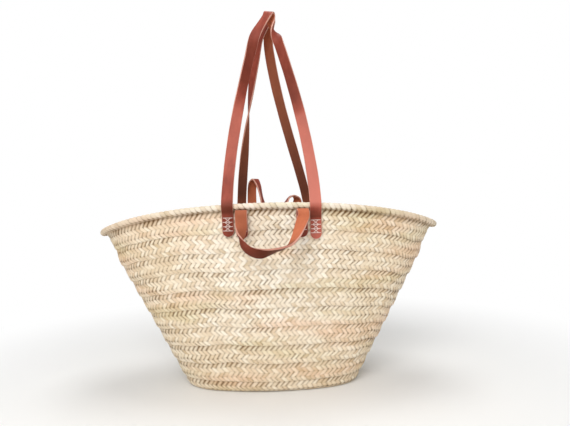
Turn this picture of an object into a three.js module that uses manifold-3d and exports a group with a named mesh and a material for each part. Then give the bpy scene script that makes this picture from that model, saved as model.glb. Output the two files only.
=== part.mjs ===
// A beach basket: plaited palm-leaf rows sewn edge to edge over a flat oval base, a whipped rope rim,
// two long and two short leather handles sewn on outside with waxed thread.
// Millimetres, +Z up, front at -Y, origin at the middle of the base's underside.

import * as THREE from 'three';
import { mergeVertices } from 'three/addons/utils/BufferGeometryUtils.js';
import Module from 'manifold-3d';

const wasm = await Module();
wasm.setup();

// Basket sizes
const baseHalfLength = 140;
const baseHalfDepth = 62;
const baseSquareness = 0.045;
const cornerRadius = 14;
const rimHalfLength = 293;
const rimHalfDepth = 112.5;
const rimSquareness = 0.015;
const slantAtFront = 315;
const slantAtEnds = 309;

// Plait sizes
const wallRowCount = 10;
const rowPitch = 31.2;
const plaitThickness = 2.2;
const rowOverlap = 5;
const cordDiameter = 1.6;

// Rim sizes
const ropeDiameter = 11;
const wrapThickness = 1.1;
const wrapGrip = 3.5;
const plaitShownAbove = 1.5;

// Handle sizes
const strapWidth = 18;
const strapThickness = 3;
const handleCentreX = 9;
const longRootHalfSpan = 68;
const shortRootHalfSpan = 46.5;
const sewnLength = 31;
const sewnEndBelowRim = 19;
const neckLength = 5;
const longHandleTop = 651;
const legLean = { start: 1.1, end: 1.25 };
const loopRadius = 6.25;
const foldRadius = 5.75;
const hangingStart = 1.3;
const hangingReach = { depth: 31, height: 54 };
const flippedReach = { depth: 46, height: 52 };

// Stitching sizes
const threadDiameter = 1.1;
const stitchInset = 2.4;
const stitchHeight = 23;
const crossingCount = 3;
const crossingHeight = 1.65;
const barHoleInset = 0.11;

// Clearances
const touchGap = 0.3;
const handleGap = 2;
const rimGap = 0.8;

// Where each long handle is gathered into a loop, seen in its own side's frame: the loop's place across, the
// direction of the strap's width there, and how far the loop leans over where it begins, in degrees.
const frontLoop = { x: 11, widthAngle: -28, tilt: 25 };
const backLoop = { x: -11, widthAngle: -20, tilt: 0 };

// The two legs of each long handle: how they draw together, where they close up to the loop, and the
// strap's width direction, as a start and the turns from share to share of the height, in degrees.
const frontLegs = {
  outer: {
    bend: 1.6,
    tightness: 1,
    topHalfSpan: 14,
    closing: 0.86,
    width: 0,
    turns: [
      { by: 42, from: 0.15, to: 0.7 },
      { by: -70, from: 0.74, to: 1 },
    ],
  },
  inner: {
    bend: 1.6,
    tightness: 1,
    topHalfSpan: 3,
    closing: 0.85,
    width: 180,
    turns: [
      { by: -30, from: 0.15, to: 0.75 },
      { by: 182, from: 0.84, to: 1 },
    ],
  },
};
const backLegs = {
  outer: {
    bend: 1.3,
    tightness: 1.8,
    topHalfSpan: -4,
    closing: 0.85,
    width: 0,
    turns: [{ by: -20, from: 0.3, to: 1 }],
  },
  inner: {
    bend: 1.3,
    tightness: 1,
    topHalfSpan: 13,
    closing: 0.88,
    width: -180,
    turns: [{ by: 160, from: 0.05, to: 0.9 }],
  },
};

// Fineness
const ringSteps = 40;
const coreSides = 8;
const cordSides = 3;
const wrapSteps = 6;
const legSteps = 24;
const legCrowding = 1.6;
const loopSteps = 6;
const sewnRows = 2;
const arcSteps = 8;
const cornerShares = [0.1, 0.4, 0.7, 1];
const rootShares = [0, 0.08, 0.35, 0.6, 0.8];
const hangingSteps = 3;
const flippedSteps = 2;
const halvings = 50;
const frameStep = 0.01;
const sameCorner = 1e-4;

// The wall's lean is looked for between these, in radians, and a height on it up to this share of its slant.
const leastLean = -0.5;
const mostLean = 1.4;
const highestShare = 1.1;

// Worked out from the sizes above
const wallTop = slantAtFront - ropeDiameter / 2 - plaitShownAbove;
const firstSeam = wallTop - wallRowCount * rowPitch;
const rowLength = rowPitch + rowOverlap;
const rowTilt = ((plaitThickness + touchGap) * rowLength) / rowPitch;
const cordRadius = cordDiameter / 2;
const ropeRadius = ropeDiameter / 2;
const wrapInnerRadius = ropeRadius - wrapThickness;
const coreRadius = wrapInnerRadius * Math.cos(Math.PI / wrapSteps) - touchGap;
const ropeOffset = -plaitThickness / 2;

// The half turn is measured in radians.
const halfTurn = Math.PI;
const quarterTurn = Math.PI / 2;

function mix(a, b, share) {
  return a + (b - a) * share;
}

// 0 before the first value, 1 after the second, smooth between.
function smooth(first, second, value) {
  const share = THREE.MathUtils.clamp((value - first) / (second - first), 0, 1);
  return share * share * (3 - 2 * share);
}

// Finds where a rising function crosses zero between two values.
function rootOf(rising, low, high) {
  for (let i = 0; i < halvings; i++) {
    const middle = (low + high) / 2;
    if (rising(middle) > 0) high = middle;
    else low = middle;
  }
  return (low + high) / 2;
}

// A point on an oval: an ellipse whose shoulders are a little fuller.
function oval(halfLength, halfDepth, squareness, angle) {
  const x = (1 + squareness) * Math.cos(angle) - squareness * Math.cos(3 * angle);
  const y = (1 + squareness) * Math.sin(angle) + squareness * Math.sin(3 * angle);
  return new THREE.Vector2(halfLength * x, halfDepth * y);
}

// The wall's lean from upright, so that the corner and the straight wall together reach the rim.
function leanFor(run, slant) {
  const reach = (lean) => {
    const straight = slant - cornerRadius * (quarterTurn - lean);
    return cornerRadius * Math.cos(lean) + straight * Math.sin(lean) - run;
  };
  return rootOf(reach, leastLean, mostLean);
}

// A point on the basket's outer face. "up" is the distance from the base edge along the wall at the
// front; below zero it lies on the flat base. Every upright line of the wall has nearly the same length.
function outerFace(angle, up) {
  if (up <= 0) {
    const flat = oval(baseHalfLength + up, baseHalfDepth + up, baseSquareness, angle);
    return new THREE.Vector3(flat.x, flat.y, 0);
  }
  const foot = oval(baseHalfLength, baseHalfDepth, baseSquareness, angle);
  const rim = oval(rimHalfLength, rimHalfDepth, rimSquareness, angle);
  const outward = rim.clone().sub(foot);
  const slant = mix(slantAtFront, slantAtEnds, Math.cos(angle) ** 2);
  const lean = leanFor(outward.length(), slant);
  outward.normalize();
  const travelled = (up * slant) / slantAtFront;
  const arc = cornerRadius * (quarterTurn - lean);
  const turned = Math.min(travelled, arc) / cornerRadius;
  const straight = Math.max(travelled - arc, 0);
  const out = cornerRadius * Math.sin(turned) + straight * Math.sin(lean);
  const rise = cornerRadius * (1 - Math.cos(turned)) + straight * Math.cos(lean);
  return new THREE.Vector3(foot.x + outward.x * out, foot.y + outward.y * out, rise);
}

// The frame of the wall at a place: its point, the way up the wall and the way out of it.
function wallFrame(angle, up) {
  const point = outerFace(angle, up);
  const along = outerFace(angle + frameStep, up).sub(outerFace(angle - frameStep, up));
  const rising = outerFace(angle, up + frameStep).sub(outerFace(angle, up - frameStep)).normalize();
  const out = along.cross(rising).normalize();
  return { point, rising, out };
}

// A point on the wall or the base, moved out of its outer face by a distance.
function wallPoint(angle, up, outBy) {
  const { point, out } = wallFrame(angle, up);
  return point.addScaledVector(out, outBy);
}

// The middle of the rope rim at an angle, with the wall's directions there.
function rimFrame(angle) {
  const frame = wallFrame(angle, slantAtFront);
  frame.point.addScaledVector(frame.out, ropeOffset);
  return frame;
}

// How far the basket's outer face stands in front of the middle plane, at a place seen from the front.
function faceDepth(x, z) {
  const aside = Math.abs(x);
  const angleFor = (up) =>
    rootOf((angle) => outerFace(angle, up).x - aside, -quarterTurn, 0);
  const upFor = rootOf((up) => outerFace(angleFor(up), up).z - z, cornerRadius, slantAtFront * highestShare);
  return -outerFace(angleFor(upFor), upFor).y;
}

// How far the rope's middle stands in front of the middle plane, and how high it is, at one x.
function ropeAt(x) {
  const aside = Math.abs(x);
  const angle = rootOf((value) => rimFrame(value).point.x - aside, -quarterTurn, 0);
  const { point } = rimFrame(angle);
  return { depth: -point.y, height: point.z };
}

// Meshes and solids

function geometryFrom(positions, index) {
  const geometry = new THREE.BufferGeometry();
  geometry.setAttribute('position', new THREE.Float32BufferAttribute(positions, 3));
  geometry.setIndex(index);
  return geometry;
}

// Joins a row of equal loops of points into side faces, two triangles for each pair of neighbours.
function sideFaces(loops, pointsEach, closed) {
  const index = [];
  const last = closed ? loops : loops - 1;
  for (let i = 0; i < last; i++) {
    for (let k = 0; k < pointsEach; k++) {
      const a = i * pointsEach + k;
      const b = i * pointsEach + ((k + 1) % pointsEach);
      const c = ((i + 1) % loops) * pointsEach + k;
      const d = ((i + 1) % loops) * pointsEach + ((k + 1) % pointsEach);
      index.push(a, b, c, b, d, c);
    }
  }
  return index;
}

// A closed ring round the basket. sectionAt gives the section's points at an angle.
function ring(sectionAt) {
  const positions = [];
  let pointsEach = 0;
  for (let i = 0; i < ringSteps; i++) {
    const section = sectionAt((i / ringSteps) * 2 * halfTurn);
    pointsEach = section.length;
    section.forEach((point) => positions.push(...point));
  }
  return geometryFrom(positions, sideFaces(ringSteps, pointsEach, true));
}

// A flat strap carried along a line of stations, each with a middle point and a width direction.
function strap(stations) {
  const positions = [];
  stations.forEach(({ point, width }, i) => {
    const before = stations[Math.max(i - 1, 0)].point;
    const after = stations[Math.min(i + 1, stations.length - 1)].point;
    const along = after.clone().sub(before).normalize();
    const across = width.clone().addScaledVector(along, -width.dot(along)).normalize();
    const face = along.clone().cross(across);
    const corners = [[1, 1], [-1, 1], [-1, -1], [1, -1]];
    corners.forEach(([side, level]) => {
      const corner = point.clone();
      corner.addScaledVector(across, (side * strapWidth) / 2);
      corner.addScaledVector(face, (level * strapThickness) / 2);
      positions.push(...corner);
    });
  });
  const index = sideFaces(stations.length, 4, false);
  const end = (stations.length - 1) * 4;
  index.push(0, 2, 1, 0, 3, 2, end, end + 1, end + 2, end, end + 2, end + 3);
  return geometryFrom(positions, index);
}

function solidOf(geometry) {
  const bare = geometry.clone();
  bare.deleteAttribute('normal');
  bare.deleteAttribute('uv');
  const merged = mergeVertices(bare, sameCorner);
  const vertProperties = new Float32Array(merged.attributes.position.array);
  const triVerts = new Uint32Array(merged.index.array);
  return new wasm.Manifold(new wasm.Mesh({ numProp: 3, vertProperties, triVerts }));
}

function geometryOf(solid) {
  const { vertProperties, triVerts } = solid.getMesh();
  return geometryFrom(Array.from(vertProperties), Array.from(triVerts));
}

// Materials
const finishes = {
  plait: new THREE.MeshStandardMaterial({ color: 0xe0cda2, roughness: 0.75, metalness: 0 }),
  cord: new THREE.MeshStandardMaterial({ color: 0x9a8350, roughness: 0.85, metalness: 0 }),
  leather: new THREE.MeshStandardMaterial({ color: 0xa3523a, roughness: 0.5, metalness: 0 }),
  thread: new THREE.MeshStandardMaterial({ color: 0xf0e4dc, roughness: 0.6, metalness: 0 }),
};

const basket = new THREE.Group();

function addPiece(parent, name, geometry, finish) {
  const mesh = new THREE.Mesh(geometry, finish);
  mesh.name = name;
  parent.add(mesh);
  return mesh;
}

function numbered(name, number) {
  return name + '_' + String(number).padStart(2, '0');
}

// Base: a doubled plait in the middle, one turn of plait round it, and the cord over each seam.
const baseSeams = [firstSeam, firstSeam - rowPitch];

function baseMiddle() {
  const edge = baseSeams[1] - touchGap;
  const outline = [];
  for (let i = 0; i < ringSteps; i++) {
    const angle = (i / ringSteps) * 2 * halfTurn;
    outline.push(oval(baseHalfLength + edge, baseHalfDepth + edge, baseSquareness, angle));
  }
  return new THREE.ExtrudeGeometry(new THREE.Shape(outline), {
    depth: plaitThickness,
    bevelEnabled: false,
  });
}

function flatRing(inner, outer) {
  return ring((angle) => [
    wallPoint(angle, inner, 0),
    wallPoint(angle, inner, -plaitThickness),
    wallPoint(angle, outer, -plaitThickness),
    wallPoint(angle, outer, 0),
  ]);
}

function cordRing(up, outBy) {
  const corners = Array.from({ length: cordSides }, (_, i) => (i / cordSides) * 2 * halfTurn);
  return ring((angle) =>
    corners.map((turn) => {
      const aside = cordRadius * Math.sin(turn);
      return wallPoint(angle, up - aside, outBy + cordRadius * Math.cos(turn));
    }),
  );
}

addPiece(basket, 'base_middle_row', baseMiddle(), finishes.plait);
addPiece(basket, 'base_outer_row', flatRing(baseSeams[1], baseSeams[0] - touchGap), finishes.plait);
baseSeams.forEach((seam, i) => {
  const above = -plaitThickness - touchGap - cordRadius;
  addPiece(basket, numbered('base_seam_cord', i + 1), cordRing(seam, above), finishes.cord);
});

// Wall rows. Each row's lower edge stands outside the row below, and its upper edge inside the row above.
const seamUp = (number) => firstSeam + number * rowPitch;

function cornerRow() {
  const upperEdge = seamUp(1) + rowOverlap;
  const bend = cornerRadius * quarterTurn;
  const level = bend / 2;
  const onCorner = cornerShares.map((share) => share * bend);
  const stops = [firstSeam, ...onCorner, seamUp(1), upperEdge];
  const tilt = (up) => -rowTilt * THREE.MathUtils.clamp((up - level) / (seamUp(1) - level), 0, 1);
  return ring((angle) => {
    const inside = stops.map((up) => wallPoint(angle, up, tilt(up) - plaitThickness));
    const outside = stops.map((up) => wallPoint(angle, up, tilt(up)));
    return [...inside, ...outside.reverse()];
  });
}

function tiltedRow(number) {
  const lower = seamUp(number - 1);
  const upper = seamUp(number) + rowOverlap;
  return ring((angle) => [
    wallPoint(angle, lower, 0),
    wallPoint(angle, lower, -plaitThickness),
    wallPoint(angle, upper, -rowTilt - plaitThickness),
    wallPoint(angle, upper, -rowTilt),
  ]);
}

function topRow() {
  return flatRing(seamUp(wallRowCount - 1), slantAtFront - coreRadius - touchGap);
}

function wallRow(number) {
  if (number === 1) return cornerRow();
  if (number === wallRowCount) return topRow();
  return tiltedRow(number);
}

// The cord that sews two rows lies inside the basket, on the lower row's upper edge.
function wallCord(number) {
  const aboveSeam = rowOverlap + touchGap + cordRadius;
  const slope = number === wallRowCount - 1 ? 0 : rowTilt / rowLength;
  const behindRow = -slope * (aboveSeam + cordRadius) - plaitThickness;
  return cordRing(seamUp(number) + aboveSeam, behindRow - touchGap - cordRadius);
}

// Rim: a round bundle of leaf on the top edge, and the whipping that grips both.
function rimPoint(angle, around, radius) {
  const { point, rising, out } = rimFrame(angle);
  point.addScaledVector(rising, -radius * Math.cos(around));
  return point.addScaledVector(out, radius * Math.sin(around));
}

function rimCore() {
  return ring((angle) => {
    const section = [];
    for (let i = 0; i < coreSides; i++) {
      section.push(rimPoint(angle, (-i / coreSides) * 2 * halfTurn, coreRadius));
    }
    return section;
  });
}

// The whipping is open below, where the top row of plait runs up into it.
function rimWrap() {
  const gripInner = plaitThickness / 2 + touchGap;
  const gripOuter = gripInner + wrapThickness;
  const gripLow = coreRadius + wrapGrip;
  const outerStart = Math.asin(gripOuter / ropeRadius);
  const innerStart = Math.asin(gripInner / wrapInnerRadius);
  const place = (angle, down, out) => {
    const frame = rimFrame(angle);
    return frame.point.addScaledVector(frame.rising, -down).addScaledVector(frame.out, out);
  };
  return ring((angle) => {
    const outer = [];
    const inner = [];
    for (let i = 0; i <= wrapSteps; i++) {
      const share = i / wrapSteps;
      outer.push(rimPoint(angle, mix(-outerStart, outerStart - 2 * halfTurn, share), ropeRadius));
      inner.push(rimPoint(angle, mix(innerStart - 2 * halfTurn, -innerStart, share), wrapInnerRadius));
    }
    return [
      place(angle, gripLow, -gripOuter),
      ...outer,
      place(angle, gripLow, gripOuter),
      place(angle, gripLow, gripInner),
      ...inner,
      place(angle, gripLow, -gripInner),
    ];
  });
}

// Handles. Each side of the basket has its own frame with the outside at -Y; the back one is turned round.
const rimHeight = outerFace(-quarterTurn, slantAtFront).z + ropeRadius;
const hingeHeight = rimHeight - sewnEndBelowRim;
const sewnBottom = hingeHeight - neckLength - sewnLength;
const foldOuterRadius = foldRadius + strapThickness / 2;

const edgesOf = (x) => [x - strapWidth / 2, x + strapWidth / 2];

// Where a sewn end lies on the wall. Its edge nearer the middle touches first, since the wall is curved.
function seatOf(x) {
  const depthsAt = (z) => edgesOf(x).map((edge) => faceDepth(edge, z));
  const low = Math.max(...depthsAt(sewnBottom));
  const high = Math.max(...depthsAt(hingeHeight));
  const falls = high - Math.min(...depthsAt(hingeHeight));
  const lean = Math.atan2(high - low, hingeHeight - sewnBottom);
  return { x, lean, falls, inner: high + touchGap / Math.cos(lean) };
}

// A point of a sewn end's own frame: up the wall from the hinge height, and out from its inner face.
function seatPoint(seat, up, out) {
  const depth = seat.inner + up * Math.sin(seat.lean) + out * Math.cos(seat.lean);
  const height = hingeHeight + up * Math.cos(seat.lean) - out * Math.sin(seat.lean);
  return new THREE.Vector3(seat.x, -depth, height);
}

// The group of a sewn end: its own y runs up the wall and its z out of it.
function seatGroup(side, seat) {
  const group = new THREE.Group();
  group.position.copy(seatPoint(seat, 0, 0));
  group.rotation.x = quarterTurn + seat.lean;
  side.add(group);
  group.updateWorldMatrix(true, false);
  return group;
}

// The flat part of a sewn end, from the hinge down to its round bottom.
function flatEnd(seat) {
  const half = strapWidth / 2;
  const length = (hingeHeight - sewnBottom) / Math.cos(seat.lean);
  const outline = new THREE.Shape();
  outline.moveTo(half, 0);
  outline.lineTo(-half, 0);
  outline.lineTo(-half, half - length);
  outline.absarc(0, half - length, half, halfTurn, 2 * halfTurn, false);
  outline.lineTo(half, 0);
  return new THREE.ExtrudeGeometry(outline, {
    depth: strapThickness,
    bevelEnabled: false,
    curveSegments: arcSteps,
  });
}

// The fold at the top of a short front end: the strap turns over, away from the wall, and down.
function foldOver() {
  const inner = foldRadius - strapThickness / 2;
  const rootDepth = strapThickness / 2;
  const outline = new THREE.Shape();
  outline.absarc(0, 0, foldOuterRadius, 0, halfTurn, false);
  outline.lineTo(-foldOuterRadius, -rootDepth);
  outline.lineTo(-inner, -rootDepth);
  outline.absarc(0, 0, inner, halfTurn, 0, true);
  const turn = new THREE.ExtrudeGeometry(outline, {
    depth: strapWidth,
    bevelEnabled: false,
    curveSegments: arcSteps,
  });
  turn.translate(0, 0, -strapWidth / 2);
  turn.rotateY(-quarterTurn);
  return turn.translate(0, 0, foldOuterRadius);
}

// Where a sewn end's thread runs: over its face, through leather and plait, and behind the plait.
function stitchLayout(seat) {
  const half = strapWidth / 2 - stitchInset;
  const top = -neckLength;
  const low = top - stitchHeight;
  const face = strapThickness + touchGap + threadDiameter / 2;
  const wallDepth = plaitThickness + rowTilt + seat.falls;
  const behind = -wallDepth - 2 * touchGap - threadDiameter / 2;
  const corners = [[-half, top], [half, top], [half, low], [-half, low]];
  const lines = Array.from({ length: crossingCount + 1 }, (_, i) => mix(top, low, i / crossingCount));
  return { half, top, low, lines, face, behind, corners };
}

// The stitching on a sewn end's face: bars across, and a cross between each pair of them.
function facePattern({ half, lines, face }) {
  const radius = threadDiameter / 2;
  const aside = half + radius;
  const crossings = lines.slice(1).map((line, i) => (line + lines[i]) / 2);
  const waist = crossingHeight / 2;
  const leftEdge = [];
  lines.forEach((bar, i) => {
    leftEdge.push([-aside, bar + radius], [-aside, bar - radius]);
    if (i < crossings.length) leftEdge.push([-waist, crossings[i]]);
  });
  const rightEdge = leftEdge.map(([x, y]) => [-x, y]).reverse();
  const pointsOf = (pairs) => pairs.map(([x, y]) => new THREE.Vector2(x, y));
  const outline = new THREE.Shape(pointsOf([...leftEdge, ...rightEdge]));
  const corner = half - threadDiameter;
  crossings.forEach((crossing, i) => {
    const above = lines[i] - radius - barHoleInset;
    const below = lines[i + 1] + radius + barHoleInset;
    [[above, crossing + waist], [below, crossing - waist]].forEach(([bar, point]) => {
      outline.holes.push(new THREE.Path(pointsOf([[-corner, bar], [corner, bar], [0, point]])));
    });
  });
  const pattern = new THREE.ExtrudeGeometry(outline, { depth: threadDiameter, bevelEnabled: false });
  return pattern.translate(0, 0, face - radius);
}

// The four places where the thread goes through, as square legs of one width and depth.
function throughLegs(layout, width, front, back) {
  return layout.corners.map(([x, y]) => {
    const leg = new THREE.BoxGeometry(width, width, front - back);
    return leg.translate(x, y, (front + back) / 2);
  });
}

// The whole thread of a sewn end: its pattern, its legs, and two runs behind the plait.
function stitches(layout) {
  const { half, top, low, face, behind } = layout;
  const runs = [facePattern(layout), ...throughLegs(layout, threadDiameter, face, behind)];
  [-half, half].forEach((x) => {
    const run = new THREE.BoxGeometry(threadDiameter, top - low + threadDiameter, threadDiameter);
    runs.push(run.translate(x, (top + low) / 2, behind));
  });
  return geometryOf(runs.map(solidOf).reduce((whole, run) => whole.add(run)));
}

function stitchHoles(layout) {
  const width = threadDiameter + 2 * touchGap;
  const beyond = 2 * threadDiameter;
  return throughLegs(layout, width, layout.face + beyond, layout.behind - beyond);
}

function cutAll(solid, cutters) {
  return cutters.map(solidOf).reduce((left, cutter) => left.subtract(cutter), solid);
}

// Adds one sewn end with its thread, and remembers the holes that its thread needs in the wall.
const wallHoles = [];

function addSewnEnd(side, name, seat, folded) {
  const group = seatGroup(side, seat);
  const layout = stitchLayout(seat);
  const holes = stitchHoles(layout);
  const flat = solidOf(flatEnd(seat));
  const whole = folded ? flat.add(solidOf(foldOver())) : flat;
  addPiece(group, name + '_end', geometryOf(cutAll(whole, holes)), finishes.leather);
  addPiece(group, name + '_stitches', stitches(layout), finishes.thread);
  wallHoles.push(...holes.map((hole) => hole.clone().applyMatrix4(group.matrixWorld)));
}

// A strap's way from a sewn end to the place where it passes in front of the rim, as stations.
function rimPass(seat) {
  const rope = ropeAt(seat.x);
  const nearest = Math.max(...edgesOf(seat.x).map((edge) => ropeAt(edge).depth));
  const depth = nearest + ropeRadius + rimGap + strapThickness / 2;
  return new THREE.Vector3(seat.x, -depth, rope.height + strapThickness / 2);
}

function rootStations(seat, width) {
  const start = seatPoint(seat, touchGap, strapThickness / 2);
  const leaving = seatPoint(seat, touchGap + neckLength, strapThickness / 2);
  const pass = rimPass(seat);
  const arriving = pass.clone().setZ(pass.z - neckLength);
  const curve = new THREE.CubicBezierCurve3(start, leaving, arriving, pass);
  return rootShares.map((share) => ({ point: curve.getPoint(share), width }));
}

// A long handle's loop: its middle, clear of the other handle's, the level way from leg to leg, the strap's
// width direction, and its lean where it begins.
function loopOf({ x, widthAngle, tilt }) {
  const turned = THREE.MathUtils.degToRad(widthAngle);
  const away = turned - Math.sign(widthAngle) * quarterTurn;
  const way = new THREE.Vector3(Math.cos(away), Math.sin(away), 0);
  const width = new THREE.Vector3(Math.cos(turned), Math.sin(turned), 0);
  const lean = THREE.MathUtils.degToRad(tilt);
  const outerRadius = loopRadius + strapThickness / 2;
  const reach = (strapWidth / 2) * Math.abs(width.y) + outerRadius * Math.abs(way.y);
  const rise = outerRadius * Math.cos(lean / 2) + (strapWidth / 2) * Math.sin(lean / 2);
  const middle = new THREE.Vector3(x, -handleGap / 2 - reach, longHandleTop - rise);
  return { middle, way, width, lean };
}

// One leg of a long handle, from the rim to its side of the loop, "hand" -1 or 1. The legs draw together
// and turn as they rise, and their stations stand closer towards the top.
function legStations(seat, leg, centre, loop, hand) {
  const pass = rimPass(seat);
  const end = loop.middle.clone().addScaledVector(loop.way, hand * loopRadius);
  const span = Math.abs(seat.x - centre);
  const stations = [];
  for (let i = 0; i <= legSteps; i++) {
    const share = 1 - (1 - i / legSteps) ** legCrowding;
    const drawnIn = 1 - (1 - share ** leg.bend) ** leg.tightness;
    const leaned = 1 - (1 - share ** legLean.start) ** legLean.end;
    const drawn = centre + hand * mix(span, leg.topHalfSpan, drawnIn);
    const closed = Math.max((share - leg.closing) / (1 - leg.closing), 0) ** 2;
    const x = mix(drawn, end.x, closed);
    const turns = leg.turns.map(({ by, from, to }) => by * smooth(from, to, share));
    const turned = THREE.MathUtils.degToRad(turns.reduce((sum, turn) => sum + turn, leg.width));
    const point = new THREE.Vector3(x, mix(pass.y, end.y, leaned), mix(pass.z, end.z, share));
    stations.push({ point, width: new THREE.Vector3(Math.cos(turned), Math.sin(turned), 0) });
  }
  return stations;
}

// The tight loop at the top of a long handle, from one leg to the other. Its lean is used up on the way.
function loopStations({ middle, way, width, lean }) {
  const stations = [];
  for (let i = 1; i < loopSteps; i++) {
    const turn = (i / loopSteps) * halfTurn;
    const leaning = (lean * (1 + Math.cos(turn))) / 2;
    const leaned = width.clone().multiplyScalar(Math.cos(leaning)).setZ(-Math.sin(leaning));
    const rising = width.clone().multiplyScalar(Math.sin(leaning)).setZ(Math.cos(leaning));
    const point = middle.clone().addScaledVector(way, -loopRadius * Math.cos(turn));
    point.addScaledVector(rising, loopRadius * Math.sin(turn));
    stations.push({ point, width: leaned });
  }
  return stations;
}

function longStrap([outerSeat, innerSeat], legs, loop, centre) {
  const up = legStations(outerSeat, legs.outer, centre, loop, -1);
  const down = legStations(innerSeat, legs.inner, centre, loop, 1).reverse();
  const rising = rootStations(outerSeat, up[0].width);
  const landing = rootStations(innerSeat, down[legSteps].width).reverse();
  return strap([...rising, ...up, ...loopStations(loop), ...down, ...landing]);
}

// A smooth line through chosen stations, with some steps between each pair.
function smoothStations(stations, stepsEach) {
  const line = new THREE.CatmullRomCurve3(stations.map(({ point }) => point));
  const widths = new THREE.CatmullRomCurve3(stations.map(({ width }) => width), false, 'catmullrom');
  const steps = (stations.length - 1) * stepsEach;
  const shares = Array.from({ length: steps + 1 }, (_, i) => i / steps);
  return shares.map((share) => ({ point: line.getPoint(share), width: widths.getPoint(share) }));
}

// Turns a short handle's route, given from its roots, into stations. Each entry holds the share of the
// half span across, the shares of the handle's depth inwards and of its height up, and the strap's width
// direction.
function routeStations(route, centre, start, reach) {
  return route.map(([across, inwards, up, ...width]) => ({
    point: new THREE.Vector3(
      centre + across * shortRootHalfSpan,
      start.y + inwards * reach.depth,
      start.z + up * reach.height,
    ),
    width: new THREE.Vector3(...width),
  }));
}

const hangingRoute = [
  [-1.005, -0.06, -0.19, 1, 0, 0],
  [-0.97, -0.26, -0.42, 0.95, 0.3, 0],
  [-0.8, -0.55, -0.69, 0.5, 0.8, 0.2],
  [-0.48, -0.84, -0.89, 0.1, 0.9, -0.4],
  [-0.09, -1, -1, 0, 0.55, -0.83],
  [0.3, -1, -0.98, 0, 0.5, -0.87],
  [0.54, -0.87, -0.91, 0.1, 0.7, -0.6],
  [0.66, -0.65, -0.78, -0.3, 0.95, 0],
  [0.77, -0.35, -0.56, -0.85, 0.5, 0.3],
  [0.9, -0.13, -0.28, -0.93, 0.1, 0.35],
];

const flippedRoute = [
  [1, 0, 0.4, -1, 0, 0],
  [0.985, 0.01, 0.75, -0.98, -0.17, 0],
  [0.93, 0.07, 1, -0.87, -0.5, 0],
  [0.82, 0.18, 1.1, -0.62, -0.79, 0],
  [0.69, 0.3, 0.88, -0.42, -0.91, 0],
  [0.61, 0.4, 0.6, -0.24, -0.97, 0],
  [0.54, 0.5, 0.33, -0.2, -0.98, 0],
  [0.46, 0.62, 0.12, -0.3, -0.95, 0],
  [0.34, 0.76, 0, -0.4, -0.92, 0],
  [0.15, 0.86, -0.1, -0.3, -0.95, 0],
  [-0.05, 0.9, -0.14, 0, -1, 0],
  [-0.22, 0.86, -0.1, 0.3, -0.95, 0],
  [-0.36, 0.76, 0, 0.4, -0.92, 0],
  [-0.46, 0.62, 0.12, 0.3, -0.95, 0],
  [-0.55, 0.42, 0.24, 0.1, -1, 0],
  [-0.67, 0.26, 0.35, 0.12, -0.99, 0],
  [-0.81, 0.12, 0.41, 0.25, -0.97, 0],
  [-0.93, 0.04, 0.38, 0.5, -0.87, 0],
  [-1, 0, 0.27, 0.82, -0.57, 0],
  [-1, 0, 0.13, 0.99, -0.14, 0],
];

// The front short handle hangs down in front of the basket from the folds of its two ends.
function hangingStrap([left, right]) {
  const out = 2 * foldOuterRadius - strapThickness / 2;
  const roots = [left, right].map((seat) => seatPoint(seat, -touchGap, out));
  const ways = [new THREE.Vector3(1, 0, 0), new THREE.Vector3(-1, 0, 0)];
  const centre = (left.x + right.x) / 2;
  const middle = routeStations(hangingRoute, centre, roots[0], hangingReach);
  const ends = roots.map((point, i) => ({ point, width: ways[i] }));
  const short = roots.map((_, i) => ({
    point: seatPoint([left, right][i], -touchGap - hangingStart, out),
    width: ways[i],
  }));
  return strap([ends[0], ...smoothStations([short[0], ...middle, short[1]], hangingSteps), ends[1]]);
}

// The back short handle rises past the rim, folds over it and drops inside the basket.
function flippedStrap([left, right]) {
  const ways = [new THREE.Vector3(-1, 0, 0), new THREE.Vector3(1, 0, 0)];
  const passes = [right, left].map(rimPass);
  const centre = (left.x + right.x) / 2;
  const middle = routeStations(flippedRoute, centre, passes[0], flippedReach);
  const chosen = [
    { point: passes[0], width: ways[0] },
    ...middle,
    { point: passes[1], width: ways[1] },
  ];
  const rising = rootStations(right, ways[0]);
  const landing = rootStations(left, ways[1]).reverse();
  return strap([...rising, ...smoothStations(chosen, flippedSteps), ...landing]);
}

// The line that a handle turns about, across the basket through the outer edge of its two roots.
function hingeOf(seats, up, out) {
  const points = seats.map((seat) => seatPoint(seat, up, out));
  return new THREE.Vector3(0, Math.min(...points.map(({ y }) => y)), points[0].z);
}

const front = new THREE.Group();
const back = new THREE.Group();
back.rotation.z = halfTurn;
basket.add(front, back);

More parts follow.
